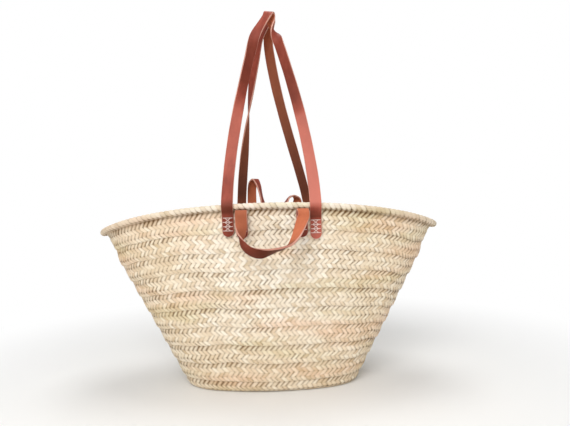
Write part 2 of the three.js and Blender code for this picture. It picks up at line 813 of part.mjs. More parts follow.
// Adds both handles of one side. "side" is 1 in front and -1 behind, where the frame is turned round.
function addHandles(sideGroup, sideName, side, legs, loopPlace) {
  const centre = side * handleCentreX;
  const seatPair = (halfSpan) => [seatOf(centre - halfSpan), seatOf(centre + halfSpan)];
  const longSeats = seatPair(longRootHalfSpan);
  const shortSeats = seatPair(shortRootHalfSpan);
  const folded = side > 0;
  const hands = side > 0 ? ['left', 'right'] : ['right', 'left'];
  hands.forEach((hand, i) => {
    addSewnEnd(sideGroup, sideName + '_long_' + hand, longSeats[i], false);
    addSewnEnd(sideGroup, sideName + '_short_' + hand, shortSeats[i], folded);
  });
  const longGeometry = longStrap(longSeats, legs, loopOf(loopPlace), centre);
  const shortGeometry = folded ? hangingStrap(shortSeats) : flippedStrap(shortSeats);
  addPiece(sideGroup, sideName + '_long_handle', longGeometry, finishes.leather);
  addPiece(sideGroup, sideName + '_short_handle', shortGeometry, finishes.leather);
  const upright = [touchGap / 2, strapThickness];
  const hanging = [-touchGap / 2, 2 * foldOuterRadius];
  const hinges = {
    [sideName + '_long_handle']: hingeOf(longSeats, ...upright),
    [sideName + '_short_handle']: hingeOf(shortSeats, ...(folded ? hanging : upright)),
  };
  Object.values(hinges).forEach((hinge) => hinge.applyMatrix4(sideGroup.matrix));
  Object.assign(basket.userData, hinges);
}

front.updateMatrix();
back.updateMatrix();
addHandles(front, 'front', 1, frontLegs, frontLoop);
addHandles(back, 'back', -1, backLegs, backLoop);

// Wall and rim, with the holes for the handles' thread.
for (let number = 1; number <= wallRowCount; number++) {
  const row = solidOf(wallRow(number));
  const sewn = number > wallRowCount - sewnRows;
  const whole = sewn ? cutAll(row, wallHoles) : row;
  addPiece(basket, numbered('wall_row', number), geometryOf(whole), finishes.plait);
}
for (let number = 1; number < wallRowCount; number++) {
  addPiece(basket, numbered('wall_seam_cord', number), wallCord(number), finishes.cord);
}
addPiece(basket, 'rim_core', rimCore(), finishes.cord);
addPiece(basket, 'rim_whipping', rimWrap(), finishes.plait);

export default basket;
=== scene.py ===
# %% [markdown]
# # A beach basket in palm leaf and leather
#
# The real basket begins as one long flat plait of palm leaf. The maker winds it in turns from the
# middle of the base to the rim, sews each turn to the last with palm cord, binds the top edge over a
# core of leaf, and sews leather handles on outside with waxed thread.
#
# The CAD model has already settled every size and how the handles move. This lesson dresses it: real
# strips that pass over and under each other, a whipped rim, leather with two unlike sides, and thread.

import bpy
import numpy as np
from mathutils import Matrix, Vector


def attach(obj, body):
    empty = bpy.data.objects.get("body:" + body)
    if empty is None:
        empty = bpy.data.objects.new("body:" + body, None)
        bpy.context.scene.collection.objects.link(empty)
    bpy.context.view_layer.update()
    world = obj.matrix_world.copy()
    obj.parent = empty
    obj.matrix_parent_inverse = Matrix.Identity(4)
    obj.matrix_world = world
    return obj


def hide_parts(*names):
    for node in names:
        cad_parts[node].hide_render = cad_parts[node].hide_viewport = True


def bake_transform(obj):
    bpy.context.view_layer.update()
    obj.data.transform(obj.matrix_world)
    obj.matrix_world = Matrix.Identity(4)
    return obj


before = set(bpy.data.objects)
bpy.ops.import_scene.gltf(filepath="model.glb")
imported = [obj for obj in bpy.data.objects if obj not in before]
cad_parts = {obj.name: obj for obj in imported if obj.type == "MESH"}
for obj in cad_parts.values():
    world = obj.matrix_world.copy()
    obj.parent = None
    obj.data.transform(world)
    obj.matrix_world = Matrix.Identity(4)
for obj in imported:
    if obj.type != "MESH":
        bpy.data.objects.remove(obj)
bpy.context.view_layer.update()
MM = 0.001
PI = np.pi
chance = np.random.default_rng(7)

# %% [markdown]
# ## Sizes
#
# Every size below is in millimetres and repeats one of the CAD model's. The wall is described by two
# numbers: an angle round the basket, and how far up the wall a point lies, measured along its slope.

# %% Basket, plait and rim sizes
BASE_HALF_LENGTH, BASE_HALF_DEPTH, BASE_SQUARENESS = 140, 62, 0.045
RIM_HALF_LENGTH, RIM_HALF_DEPTH, RIM_SQUARENESS = 293, 112.5, 0.015
CORNER_RADIUS = 14
SLANT_FRONT, SLANT_ENDS = 315, 309
ROWS, ROW_PITCH, ROW_OVERLAP, PLAIT_THICKNESS = 10, 31.2, 5, 2.2
ROPE_RADIUS, PLAIT_ABOVE = 5.5, 1.5
TOUCH_GAP = 0.3
FIRST_SEAM = SLANT_FRONT - ROPE_RADIUS - PLAIT_ABOVE - ROWS * ROW_PITCH
ROW_LENGTH = ROW_PITCH + ROW_OVERLAP
ROW_TILT = (PLAIT_THICKNESS + TOUCH_GAP) * ROW_LENGTH / ROW_PITCH
print("the first seam lies", round(-FIRST_SEAM, 2), "mm inside the edge of the base")

# %% [markdown]
# ## The wall as a surface
#
# Both edges of the wall are ovals: an ellipse with slightly fuller shoulders, the short one on the
# ground and the long one at the rim. Between them the wall turns through a rounded corner and then
# rises straight. Its lean differs from angle to angle, so that both edges are met with almost the same
# length of plait, which is why the rim dips at the ends. The lean is found once, in a table.

# %% Ovals and the lean of the wall
def oval(half_length, half_depth, squareness, angle):
    """x is the half length times ((1 + q) cos a - q cos 3a), and y is the half depth times
    ((1 + q) sin a + q sin 3a), where q is the squareness."""
    x = (1 + squareness) * np.cos(angle) - squareness * np.cos(3 * angle)
    y = (1 + squareness) * np.sin(angle) + squareness * np.sin(3 * angle)
    return np.stack([half_length * x, half_depth * y], -1)


def base_oval(angle, grown=0):
    """The edge of the base, moved outwards by some millimetres."""
    return oval(BASE_HALF_LENGTH + grown, BASE_HALF_DEPTH + grown, BASE_SQUARENESS, angle)


def rim_oval(angle):
    """The top edge of the wall's outer face."""
    return oval(RIM_HALF_LENGTH, RIM_HALF_DEPTH, RIM_SQUARENESS, angle)


def slant_at(angle):
    """The wall's length up its slope: from the front's to the ends' by cos^2 a."""
    return SLANT_FRONT + (SLANT_ENDS - SLANT_FRONT) * np.cos(angle) ** 2


def crossing(rising, low, high, steps=45):
    """Where a rising function crosses zero, for whole arrays at once, by halving the interval."""
    for _ in range(steps):
        middle = (low + high) / 2
        above = rising(middle) > 0
        low, high = np.where(above, low, middle), np.where(above, middle, high)
    return (low + high) / 2


table_angle = np.linspace(-PI, PI, 2881)
run = np.linalg.norm(rim_oval(table_angle) - base_oval(table_angle), axis=-1)


def past_the_rim(lean):
    """How far past the rim a wall with lean t comes: r cos t for its corner, plus its straight part sin t."""
    straight = slant_at(table_angle) - CORNER_RADIUS * (PI / 2 - lean)
    return CORNER_RADIUS * np.cos(lean) + straight * np.sin(lean) - run


table_lean = crossing(past_the_rim, np.full_like(run, -0.5), np.full_like(run, 1.4))
print("degrees the wall leans, least and most:", *np.degrees([table_lean.min(), table_lean.max()]).round(1))

# %% Points and directions on the wall
def unit(vectors):
    """Each vector divided by its own length."""
    return vectors / np.maximum(np.linalg.norm(vectors, axis=-1, keepdims=True), 1e-9)


def side_by_side(*columns):
    """Arrays brought to one shape and made the columns of one array."""
    return np.stack(np.broadcast_arrays(*columns), -1)


def one_after_another(parts):
    """Parts that each hold the same kinds of array, joined kind by kind."""
    return [np.concatenate(kind) for kind in zip(*parts)]


def length_along(points):
    """The length of a line of points up to each of them: a running sum of the gaps."""
    return np.concatenate([[0], np.cumsum(np.linalg.norm(np.diff(points, axis=0), axis=1))])


def outer_face(angle, up):
    """The foot point, plus the outward way by r sin t + s sin lean, raised by r (1 - cos t) + s cos lean. The
    corner of radius r has turned by t, and s is the straight length after it. Below 0 lies the base."""
    angle, up = np.broadcast_arrays(np.asarray(angle, float), np.asarray(up, float))
    outward = unit(rim_oval(angle) - base_oval(angle))
    lean = np.interp(angle, table_angle, table_lean, period=2 * PI)
    travelled, arc = np.maximum(up, 0) * (slant_at(angle) / SLANT_FRONT), CORNER_RADIUS * (PI / 2 - lean)
    turned, straight = np.minimum(travelled, arc) / CORNER_RADIUS, np.maximum(travelled - arc, 0)
    out = CORNER_RADIUS * np.sin(turned) + straight * np.sin(lean)
    rise = CORNER_RADIUS * (1 - np.cos(turned)) + straight * np.cos(lean)
    flat = base_oval(angle, np.minimum(up, 0))
    return np.concatenate([flat + outward * out[..., None], rise[..., None]], -1)


def smooth_step(first, second, value):
    """0 before the first value, 1 after the second, and s^2 (3 - 2s) between."""
    share = np.clip((value - first) / (second - first), 0, 1)
    return share * share * (3 - 2 * share)


def wall_frame(angle, up):
    """A point of the wall, the way up it and the way out of it, from small differences of outer_face."""
    step = 0.02
    along = outer_face(angle + step / 10, up) - outer_face(angle - step / 10, up)
    rising = unit(outer_face(angle, up + step) - outer_face(angle, up - step))
    return outer_face(angle, up), rising, unit(np.cross(along, rising))


def turned_about(centre, first, second, radius, turn):
    """Centre + first * r cos t + second * r sin t."""
    return centre + first * (radius * np.cos(turn))[..., None] + second * (radius * np.sin(turn))[..., None]


def wall_point(angle, up, out_by):
    """A point of the wall moved straight out of its face."""
    point, _, out = wall_frame(angle, up)
    return point + out * np.asarray(out_by)[..., None]


print("the rim at the front and at the end:", outer_face([-PI / 2, 0], SLANT_FRONT).round(1).tolist())

# %% [markdown]
# ## From arrays to meshes
#
# Almost everything here is a bundle of tubes: strips, cord, thread and straps. One helper numbers the
# faces of a whole bundle at once, and another puts points, faces and per-point values into a mesh. It
# measures the volume that the faces enclose and turns them all round if that comes out negative.

# %% Faces of a bundle of tubes
def tube_faces(tubes, stations, sides, closed=False):
    """Point k of station i of tube t has the number (t * stations + i) * sides + k. Neighbours make quads,
    and quads that share corner 0 close both ends of an open tube."""
    t = np.arange(tubes)[:, None, None]
    i = np.arange(stations if closed else stations - 1)[None, :, None]
    k = np.arange(sides)[None, None, :]

    def at(i, k):
        return (t * stations + i % stations) * sides + k % sides

    quads = [np.broadcast_arrays(at(i, k), at(i + 1, k), at(i + 1, k + 1), at(i, k + 1))]
    if not closed:
        for k in range(1, sides - 2, 2):
            for end, corners in ((0, (0, k, k + 1, k + 2)), (stations - 1, (k + 2, k + 1, k, 0))):
                quads.append([at(end, corner) for corner in corners])
    return np.concatenate([np.stack(quad, -1).reshape(-1, 4) for quad in quads])


# %% A mesh from points and quads
def make_piece(name, points, faces, values=None, uv=None, sharp=40):
    """The volume is a sixth of the sum, over each face's two triangles, of a . (b x c)."""
    points = np.asarray(points, float).reshape(-1, 3) * MM
    a, b, c, d = (points[faces[:, i]] for i in range(4))
    volume = ((a * np.cross(b, c)).sum() + (a * np.cross(c, d)).sum()) / 6
    if volume < 0:
        faces = faces[:, ::-1]
    mesh = bpy.data.meshes.new(name)
    mesh.vertices.add(len(points))
    mesh.vertices.foreach_set("co", points.ravel())
    mesh.loops.add(faces.size)
    mesh.loops.foreach_set("vertex_index", faces.ravel())
    mesh.polygons.add(len(faces))
    mesh.polygons.foreach_set("loop_start", np.arange(0, faces.size, 4))
    mesh.update(calc_edges=True)
    if uv is not None:
        layer = mesh.uv_layers.new(name="UVMap")
        layer.data.foreach_set("uv", np.asarray(uv, float).reshape(-1, 2)[faces.ravel()].ravel())
    for key, value in (values or {}).items():
        mesh.attributes.new(key, "FLOAT", "POINT").data.foreach_set("value", np.asarray(value, float).ravel())
    mesh.polygons.foreach_set("use_smooth", np.ones(len(faces), bool))
    mesh.set_sharp_from_angle(angle=np.radians(sharp))
    piece = bpy.data.objects.new(name, mesh)
    bpy.context.collection.objects.link(piece)
    print(name, len(points), "points", len(faces), "quads,", round(abs(volume) * 1e6, 2), "cm3")
    return piece


def leaf_piece(name, parts, strips, closed=False, sharp=40):
    """Families of strips as one mesh, every point with its tone and its depth, the share of olive and painted
    shade. Each station has 4 corners of 3 numbers, which gives the count of stations."""
    points, tones, olive_and_shade_shares, uvs = one_after_another(parts)
    faces = tube_faces(strips, points.size // (strips * 4 * 3), 4, closed)
    return make_piece(name, points, faces, {"tone": tones, "depth": olive_and_shade_shares}, uvs, sharp)


def in_basket(piece, finish, node):
    """Gives a piece its finish, lets it ride on the basket and stand for one of the solids."""
    piece.data.materials.append(finish)
    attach(piece, "basket")
    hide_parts(node)


# %% [markdown]
# ## Finishes
#
# A finish is one Principled shader and the nodes that feed it. Writing shader maths as nodes by hand
# is slow to read, so a small class wraps a socket: adding, subtracting, multiplying or taking a power
# of it makes the Math node. Everything else comes from one method, node. Cord, thread and cut leather
# are plain streaks in different colours, so one function makes all three.

# %% A socket that can be calculated with, and a finish
class Socket:
    """One output of a node. Arithmetic on it adds Math nodes."""

    def __init__(self, finish, link):
        self.finish, self.link = finish, link

    def maths(self, operation, *values):
        """A Math node fed with these values."""
        return self.finish.node("ShaderNodeMath", {"operation": operation}, dict(enumerate(values)))

    def __add__(self, other):
        return self.maths("ADD", self, other)

    def __radd__(self, other):
        return self.maths("ADD", other, self)

    def __sub__(self, other):
        return self.maths("SUBTRACT", self, other)

    def __rsub__(self, other):
        return self.maths("SUBTRACT", other, self)

    def __mul__(self, other):
        return self.maths("MULTIPLY", self, other)

    def __rmul__(self, other):
        return self.maths("MULTIPLY", other, self)

    def __pow__(self, other):
        return self.maths("POWER", self, other)


class Finish:
    """A material, its Principled shader, and one method that adds any node."""

    def __init__(self, name, **fixed):
        self.material = bpy.data.materials.new(name)
        self.material.use_nodes = True
        self.tree = self.material.node_tree
        self.shader = self.tree.nodes["Principled BSDF"]
        for key, value in fixed.items():
            self.shader.inputs[key.replace("_", " ")].default_value = value

    def node(self, kind, settings=None, inputs=None, output=0):
        """A node of any type: first its settings, then the values or links of its sockets."""
        made = self.tree.nodes.new(kind)
        for key, value in (settings or {}).items():
            if key == "stops":
                ramp = made.color_ramp.elements
                for i, (place, colour) in enumerate(value):
                    stop = ramp[i] if i < 2 else ramp.new(place)
                    stop.position, stop.color = place, colour
            else:
                setattr(made, key, value)
        for key, value in (inputs or {}).items():
            self.feed(made.inputs[key], value)
        return Socket(self, made.outputs[output])

    def feed(self, socket, value):
        """A link if the value is another node's output, or else the value itself."""
        if isinstance(value, Socket):
            self.tree.links.new(value.link, socket)
        else:
            socket.default_value = value

    def colour_mix(self, share, first, second, blend="MIX"):
        """First * (1 - share) + second * share. MULTIPLY puts first * second in the place of second."""
        settings = {"data_type": "RGBA", "blend_type": blend}
        return self.node("ShaderNodeMix", settings, {0: share, 6: first, 7: second}, 2)

    def ramp(self, value, *stops):
        """A colour for each value. The two end stops come first, then those between them."""
        return self.node("ShaderNodeValToRGB", {"stops": stops}, {"Fac": value})

    def attribute(self, name):
        """A number that the mesh stores at each point."""
        return self.node("ShaderNodeAttribute", {"attribute_name": name}, output="Fac")

    def noise(self, source, scale, detail, roughness, moved=(0, 0, 0)):
        """Noise on coordinates that are drawn out along some axes, so that it gets a direction."""
        where = self.node("ShaderNodeTexCoord", None, None, source)
        where = self.node("ShaderNodeMapping", None, {"Vector": where, "Location": moved, "Scale": scale})
        values = {"Vector": where, "Scale": 1, "Detail": detail, "Roughness": roughness}
        return self.node("ShaderNodeTexNoise", None, values, "Fac")

    def place(self, axis):
        """One of the object's own three coordinates, in metres."""
        where = self.node("ShaderNodeTexCoord", None, None, "Object")
        return self.node("ShaderNodeSeparateXYZ", None, {"Vector": where}, axis)

    def spread(self, value, low, high, to_low=0.0, to_high=1.0):
        """From low to high the value moves smoothly from to_low to to_high, and never past them."""
        settings = {"interpolation_type": "SMOOTHSTEP"}
        names = {"Value": value, "From Min": low, "From Max": high, "To Min": to_low, "To Max": to_high}
        return self.node("ShaderNodeMapRange", settings, names, "Result")

    def bump(self, height, strength, distance):
        """The surface's normal, tilted as if height times distance, in metres, stood out of it."""
        values = {"Height": height, "Strength": strength, "Distance": distance}
        return self.node("ShaderNodeBump", None, values, "Normal")

    def finish(self, colour, roughness, normal):
        """The material, once its shader has colour, roughness and normal."""
        self.feed(self.shader.inputs["Base Color"], colour)
        self.feed(self.shader.inputs["Roughness"], roughness)
        self.feed(self.shader.inputs["Normal"], normal)
        return self.material


def rgb(red, green, blue):
    """A screen colour c from 0 to 1 as linear light, ((c + 0.055) / 1.055)^2.4, or c / 12.92 near black."""
    share = np.array([red, green, blue]) / 255
    linear = np.where(share <= 0.04045, share / 12.92, ((share + 0.055) / 1.055) ** 2.4)
    return (*linear.tolist(), 1)


def streaked(name, scale, detail, roughness, low, high, matt, strength, height, dark=None):
    """Colour is a ramp over one noise that is drawn out along the piece, mixed with dark by half of the shade
    where there is a dark colour, which paints shade. Roughness is matt + 0.2 * noise, and the noise is the
    bump too."""
    finish = Finish(name)
    streaks = finish.noise("UV", scale, detail, roughness)
    colour = finish.ramp(streaks, low, high)
    if dark:
        colour = finish.colour_mix(0.5 * finish.attribute("shade"), colour, dark)
    return finish.finish(colour, matt + 0.2 * streaks, finish.bump(streaks, strength, height))


print("a cream strip in linear light:", [round(v, 3) for v in rgb(236, 220, 180)[:3]])

# %% [markdown]
# ### Palm leaf
#
# Dried palm leaf is cream with a slight gloss. Strips from one leaf share a tone, some turns are a
# little pink or green, and fine veins run along each strip. Each strip therefore carries its own tone
# number, and its UV runs across and along it for the veins. A depth number is stored too, and it mixes
# in olive: painted shade in the slits between floats, where strips dive and under the turn above, and
# in part the olive of leaf that light never reached.

# %% Palm leaf
PINK, GREEN, YELLOW = rgb(254, 240, 234), rgb(243, 242, 226), rgb(248, 243, 234)
# The second colour is painted shade for the plait's slits and recesses, in part the olive of leaf kept from
# the light.
VEIN, OLIVE_AND_SHADE = rgb(196, 168, 124), rgb(128, 95, 54)


def palm_leaf(name, dark, plain, pale, white):
    """Colour is a ramp over the strip's tone, multiplied by slow pink and green patches and by a yellow that
    grows towards foot and ends, then mixed with olive by the cube of depth. That olive is painted shade in
    slits and recesses, and in part the olive of leaf kept from the light."""
    finish = Finish(name, IOR=1.45)
    tone, depth = finish.attribute("tone"), finish.attribute("depth")
    veins = finish.noise("UV", (9, 0.16, 1), 3, 0.6)
    blotches = finish.noise("UV", (1.4, 0.25, 1), 3, 0.6)
    greenish = finish.noise("Object", (7, 7, 30), 2, 0.5, (2.3, 0, 1.7))
    pinkish = finish.noise("Object", (6, 6, 26), 1.5, 0.5, (4.1, 0, 2.9))
    shaded = finish.noise("Object", (16, 16, 34), 1, 0.5, (5.2, 0, 3.3))
    end, height = finish.place("X"), finish.place("Z")
    # A slightly darker, yellower tint that grows towards the foot and the ends.
    foot_and_end_tint = finish.spread(height, 0.03, 0.16, 1, 0) + finish.spread(end * end, 0.004, 0.03)
    colour = finish.ramp(0.72 * tone + 0.36 * blotches - 0.04,
                         (0, rgb(*dark)), (1, rgb(*white)), (0.3, rgb(*plain)), (0.7, rgb(*pale)))
    for share, tint in ((finish.spread(pinkish, 0.5, 0.7, 0, 0.9), PINK),
                        (finish.spread(greenish, 0.48, 0.7, 0, 0.9), GREEN), (foot_and_end_tint, YELLOW)):
        colour = finish.colour_mix(share, colour, tint, "MULTIPLY")
    colour = finish.colour_mix(finish.spread(veins, 0.55, 0.8, 0, 0.25), colour, VEIN)
    # Painted shade: the cube of depth mixes in olive where the plait is recessed.
    colour = finish.colour_mix(finish.spread(shaded, 0.36, 0.64, 0.55, 1) * depth ** 3, colour, OLIVE_AND_SHADE)
    return finish.finish(colour, 0.42 + 0.3 * veins, finish.bump(veins + 0.6 * blotches, 0.25, 0.0004))


leaf = palm_leaf("palm leaf", (203, 181, 144), (230, 212, 186), (245, 234, 215), (253, 249, 240))

# %% [markdown]
# ## Plaiting
#
# In this plait the strips run on the slant and pass over two and under two. Seen from outside that
# gives four lines of short slanted floats in each turn, leaning one way and then the other. A strip is
# a thin tube with four corners: left edge, crown, right edge, back. It is laid out in levels, each as
# high as one crossing. Its sections lie along the strips that it crosses, which gives the floats their
# slanted ends, and it dives between two floats where the crossing strips pass over it.

# %% Strips of one turn of plait
STRIP_PITCH, LEVEL, WANDER = 8.2, 3.9, 0.25
SECTION = np.array([-1.0, 0.0, 1.0, 0.0])
LENS = np.array([0.0, 0.4, 0.0, -0.4])
FLOAT_PLACES, FLOAT_RIDES = [-0.65, 0, 0.65], [0.85, 1, 0.85]


def strip_levels(height):
    """Levels of a strip's stations, and how high it rides there, in turn over and under. The stations are the
    middle and both ends of each float, and the two edges of the turn."""
    end = height / LEVEL - 0.5
    floats = np.arange(0.5, end, 2.0)
    level = (floats[:, None] + FLOAT_PLACES).ravel()
    ride = (np.where(np.arange(len(floats)) % 2, -1.0, 1.0)[:, None] * FLOAT_RIDES).ravel()
    inside = (level > 0.2) & (level < end - 0.35)
    return np.concatenate([[-0.5], level[inside], [end]]), np.concatenate([[0.0], ride[inside], [0.0]])


def plait_strips(total, slope, pitch, height):
    """Up is level * (m + 1/2 - slope * across / 2) at the m-th level, and along is start + slope * up * pitch
    / (2 * level), plus half the width times across. Strips of the other slope ride with the opposite sign."""
    level, ride = (part[None, :, None] for part in strip_levels(height))
    start = np.arange(total)[:, None, None] * pitch + chance.normal(0, 0.22, (total, 1, 1))
    across = SECTION[None, None, :] * np.ones((total, level.shape[1], 1))
    up = np.clip(LEVEL * (level + 0.5 - slope * across / 2), -0.9, height)
    wander = WANDER * np.sin(up / chance.uniform(5, 9, (total, 1, 1)) + chance.uniform(0, 6, (total, 1, 1)))
    width = chance.uniform(0.88, 1.0, (total, 1, 1))
    along = start + slope * up * pitch / (2 * LEVEL) + across * width * pitch / 2 + wander
    return along, up, np.broadcast_to(-slope * ride, along.shape), across


print("a strip's levels:", strip_levels(ROW_LENGTH)[0].round(2))

# %% [markdown]
# A turn of plait goes once round the basket. The distance round at its middle height sets how many
# strips it needs, and a table turns distance along the turn into the angle round the basket. No turn is
# quite straight: slow waves lift and push the whole wall a little, and not at the foot or the rim.

# %% Round the basket
def around(up):
    """Distance round the basket at one height, as a table from distance to angle."""
    angle = np.linspace(-PI, PI, 1441)
    points = outer_face(angle, up)
    return angle, length_along(points)


def angle_at(along, table):
    """The angle for a distance along a turn, counted on past the place where the turn closes."""
    angle, length = table
    laps = np.floor(along / length[-1])
    return np.interp(along - laps * length[-1], length, angle) + laps * 2 * PI


WAVE_SIZES = {5: 0.9, 9: 0.8, 14: 0.6, 23: 0.4}
WAVES = [(count, size, *chance.uniform(0, 2 * PI, 2)) for count, size in WAVE_SIZES.items()]
FOOT_FADE, RISE_FADE, PUSH_FADE = (15, 60), (275, 300), (240, 265)
HOLLOW, HOLLOW_BEGINS, HOLLOW_ENDS = 5, (252, 288), (298, 312)


def settled(angle, up):
    """Upwards the sum of size * sin(count * angle + phase + up / 70), and outwards 0.45 of a sum like it.
    Both fade at foot and rim. Under the rope the ends are drawn in by the hollow times cos^4 a."""
    rise = sum(size * np.sin(count * angle + first + up / 70) for count, size, first, _ in WAVES)
    push = sum(size * np.sin(count * angle + second + up / 50) for count, size, _, second in WAVES)
    foot = smooth_step(*FOOT_FADE, up)
    under_rope = smooth_step(*HOLLOW_BEGINS, up) * (1 - 0.75 * smooth_step(*HOLLOW_ENDS, up))
    push = 0.45 * push * foot * (1 - smooth_step(*PUSH_FADE, up))
    return rise * foot * (1 - smooth_step(*RISE_FADE, up)), push - HOLLOW * np.cos(angle) ** 4 * under_rope


# %% [markdown]
# The four lines of floats in a turn don't look alike. The lowest catches the light, and the top one lies
# in the shade of the turn above. That shade is also painted into its colour as olive, along with some
# olive the leaf kept there.

# %% One turn of the wall
LINE_PLACE = [0.2, 0.8, 1.2, 1.8, 2.2, 2.8, 3.2, 4.0]
# Painted shade for each line of floats, by its place up the turn: the top line, under the turn above, gets
# the most.
LINE_SHADE = [0.0, 0.0, 0.15, 0.15, 0.05, 0.05, 0.45, 0.6]


def plait_turn(name, lower, upper, profile, amplitude=0.72, waving=True, shading=1.0):
    """All strips of both slopes, mapped from (along, up, out) onto the wall. Depth, the share of olive and
    painted shade, is 0.45 (1 - ride), at most 0.5, which darkens a strip where it dives, plus the slit's
    painted shade times |across| and the painted shade of the line."""
    table = around((lower + upper) / 2)
    round_it = table[1][-1]
    total = int(round(round_it / STRIP_PITCH))
    parts = []
    for slope in (-1, 1):
        along, up, ride, across = plait_strips(total, slope, round_it / total, upper - lower)
        angle, height = angle_at(along, table), lower + up
        lift, thick = chance.uniform(0.8, 1.15, (2, total, 1, 1))
        out = -PLAIT_THICKNESS / 2 + profile(angle, height) + amplitude * lift * ride + LENS * thick
        if waving:
            rise, push = settled(angle, height)
            height, out = height + rise, out + push
        tone = np.broadcast_to(chance.beta(2.2, 1.8, (total, 1, 1)), along.shape)
        # Painted shade: olive in the slits between floats, where a strip dives, and on the top line of the
        # turn.
        line = shading * np.interp(up / (2 * LEVEL), LINE_PLACE, LINE_SHADE) if waving else 0.1
        slit_shade = 0.3 + 0.45 * chance.random((total, 1, 1)) + 0.5 * (chance.random((total, 1, 1)) < 0.05)
        depth = np.clip(slit_shade * np.abs(across) + np.minimum(0.45 * (1 - ride), 0.5) + line, 0, 1)
        beside = across * 0.5 + np.arange(total)[:, None, None] * 3.7
        parts.append((wall_point(angle, height, out), tone, depth, side_by_side(beside, lower + up)))
    return leaf_piece(name, parts, 2 * total)


# %% [markdown]
# A turn's lower edge stands out over the turn below, its middle bulges softly, and its top is pulled in
# behind the turn above. That is what makes the wall look like a stack of cushions.

# %% The ten turns of the wall
def seam_up(number):
    """How far up a turn ends: the first seam plus whole pitches."""
    return FIRST_SEAM + number * ROW_PITCH


def row_profile(number):
    """How far out a turn's middle lies: a ridge e^-x^2 along its edge, the edge itself tucked in, a bulge by
    a sine and a smooth step inwards. Ridge and step vary slowly round the basket. The first turn has the
    step alone, and the last one has an even step that starts higher up."""
    lower, phase = seam_up(number - 1), chance.uniform(0, 2 * PI, 3)

    def profile(angle, up):
        if number == 1:
            return -2.1 * smooth_step(CORNER_RADIUS, seam_up(1), up)
        share = (up - lower) / ROW_PITCH
        tucked = -0.9 * np.exp(-((share + 0.03) / 0.07) ** 2)
        ridge = np.exp(-((share - 0.14) / 0.13) ** 2)
        bulge = 0.2 * np.sin(PI * np.clip(share / 0.9, 0, 1))
        if number == ROWS:
            return 0.1 + tucked + 0.3 * ridge + bulge - 2.4 * smooth_step(0.6, 1, share)
        uneven = 1 + 0.1 * sum(np.sin(count * angle + first) for count, first in zip((4, 11, 19), phase))
        return tucked + 0.25 * ridge * uneven + bulge - 1.8 * uneven * smooth_step(0.3, 1.05, share)

    return profile


for number in range(1, ROWS + 1):
    top = SLANT_FRONT - 3 if number == ROWS else seam_up(number) + ROW_OVERLAP
    shading = 1.0 if number == ROWS else chance.uniform(0.5, 1.0)
    name, profile = f"plait_turn_{number:02d}", row_profile(number)
    turn = plait_turn(name, seam_up(number - 1), top, profile, shading=shading)
    in_basket(turn, leaf, f"wall_row_{number:02d}")

# %% [markdown]
# ## The base
#
# The base is the start of the plait: two runs side by side, folded to and fro, with one turn round
# them. Nobody sees more than a glimpse of it from above or below, but it is plaited the same way.

# %% The turn round the base, and the doubled start in the middle
BASE_INNER, BASE_GAP = FIRST_SEAM - ROW_PITCH, 0.4


def flat_profile(angle, up):
    """The turn in the base neither bulges nor steps."""
    return 0.0


turn = plait_turn("base_turn", BASE_INNER + BASE_GAP, FIRST_SEAM - BASE_GAP, flat_profile, 0.5, False)
in_basket(turn, leaf, "base_outer_row")


def base_start(name):
    """Two flat runs of plait, one each side of the long middle line, drawn in to the oval outline: y is 0.3,
    plus the rest of the outline's half depth at x times up / height."""
    edge = BASE_INNER - 0.6
    half_length = BASE_HALF_LENGTH + edge
    outline = base_oval(np.linspace(0, PI, 721), edge)
    total = int(2 * half_length / STRIP_PITCH) + 8
    height = 8 * LEVEL
    parts = []
    for slope in (-1, 1):
        for side in (-1, 1):
            along, up, ride, across = plait_strips(total, slope, STRIP_PITCH, height)
            x = np.clip(along - along.mean(), -half_length + 0.5, half_length - 0.5)
            reach = np.interp(x, outline[::-1, 0], outline[::-1, 1])
            y = side * (0.3 + (reach - 0.3) * up / height)
            z = PLAIT_THICKNESS / 2 + 0.5 * ride + LENS * 0.9
            tone = np.broadcast_to(chance.beta(2.2, 1.8, (total, 1, 1)), x.shape)
            # Painted shade: the slits between floats are mixed with olive through depth.
            depth, uv = 0.2 + 0.3 * np.abs(across), side_by_side(across * 0.5, y)
            parts.append((np.stack([x, y, z], -1), tone, depth, uv))
    return leaf_piece(name, parts, 4 * total)


in_basket(base_start("base_start"), leaf, "base_middle_row")

# %% [markdown]
# ## Palm cord
#
# The turns are sewn with a two-ply cord of twisted palm. It lies inside the basket along each seam. A
# twisted cord is a section with two lobes that turns as it goes, so one closed tube shows both plies. Its
# finish is olive brown, with fibres along the twist.

# %% Cord finish and the laid cord
twine = streaked("palm cord", (0.8, 6, 1), 3, 0.7, (0.2, rgb(158, 134, 88)), (0.85, rgb(214, 192, 146)),
                 0.7, 0.4, 0.0003)
CORD_RADIUS = 0.8


def laid_cord(name, node, up, out_by, radius=CORD_RADIUS, lay=7.0, per_lay=5, sides=6):
    """The section's radius is r (0.76 + 0.26 cos 2(a - t)), and t grows by a full circle in each lay."""
    table = around(up)
    round_it = table[1][-1]
    stations = int(round_it / lay * per_lay)
    distance = np.arange(stations) / stations * round_it
    angle = angle_at(distance, table)
    rise, push = settled(angle, up)
    point, rising, out = wall_frame(angle, up + rise)
    turn = np.round(round_it / lay) * 2 * PI * np.arange(stations) / stations
    section = np.arange(sides) / sides * 2 * PI
    size = radius * (0.76 + 0.26 * np.cos(2 * (section[None] - turn[:, None])))
    centre = point + out * (out_by + push)[:, None]
    rings = turned_about(centre[:, None], out[:, None], rising[:, None], size, section)
    uv = side_by_side(distance[:, None], section[None] - turn[:, None])
    cord = make_piece(name, rings, tube_faces(1, stations, sides, True), None, uv, 80)
    in_basket(cord, twine, node)


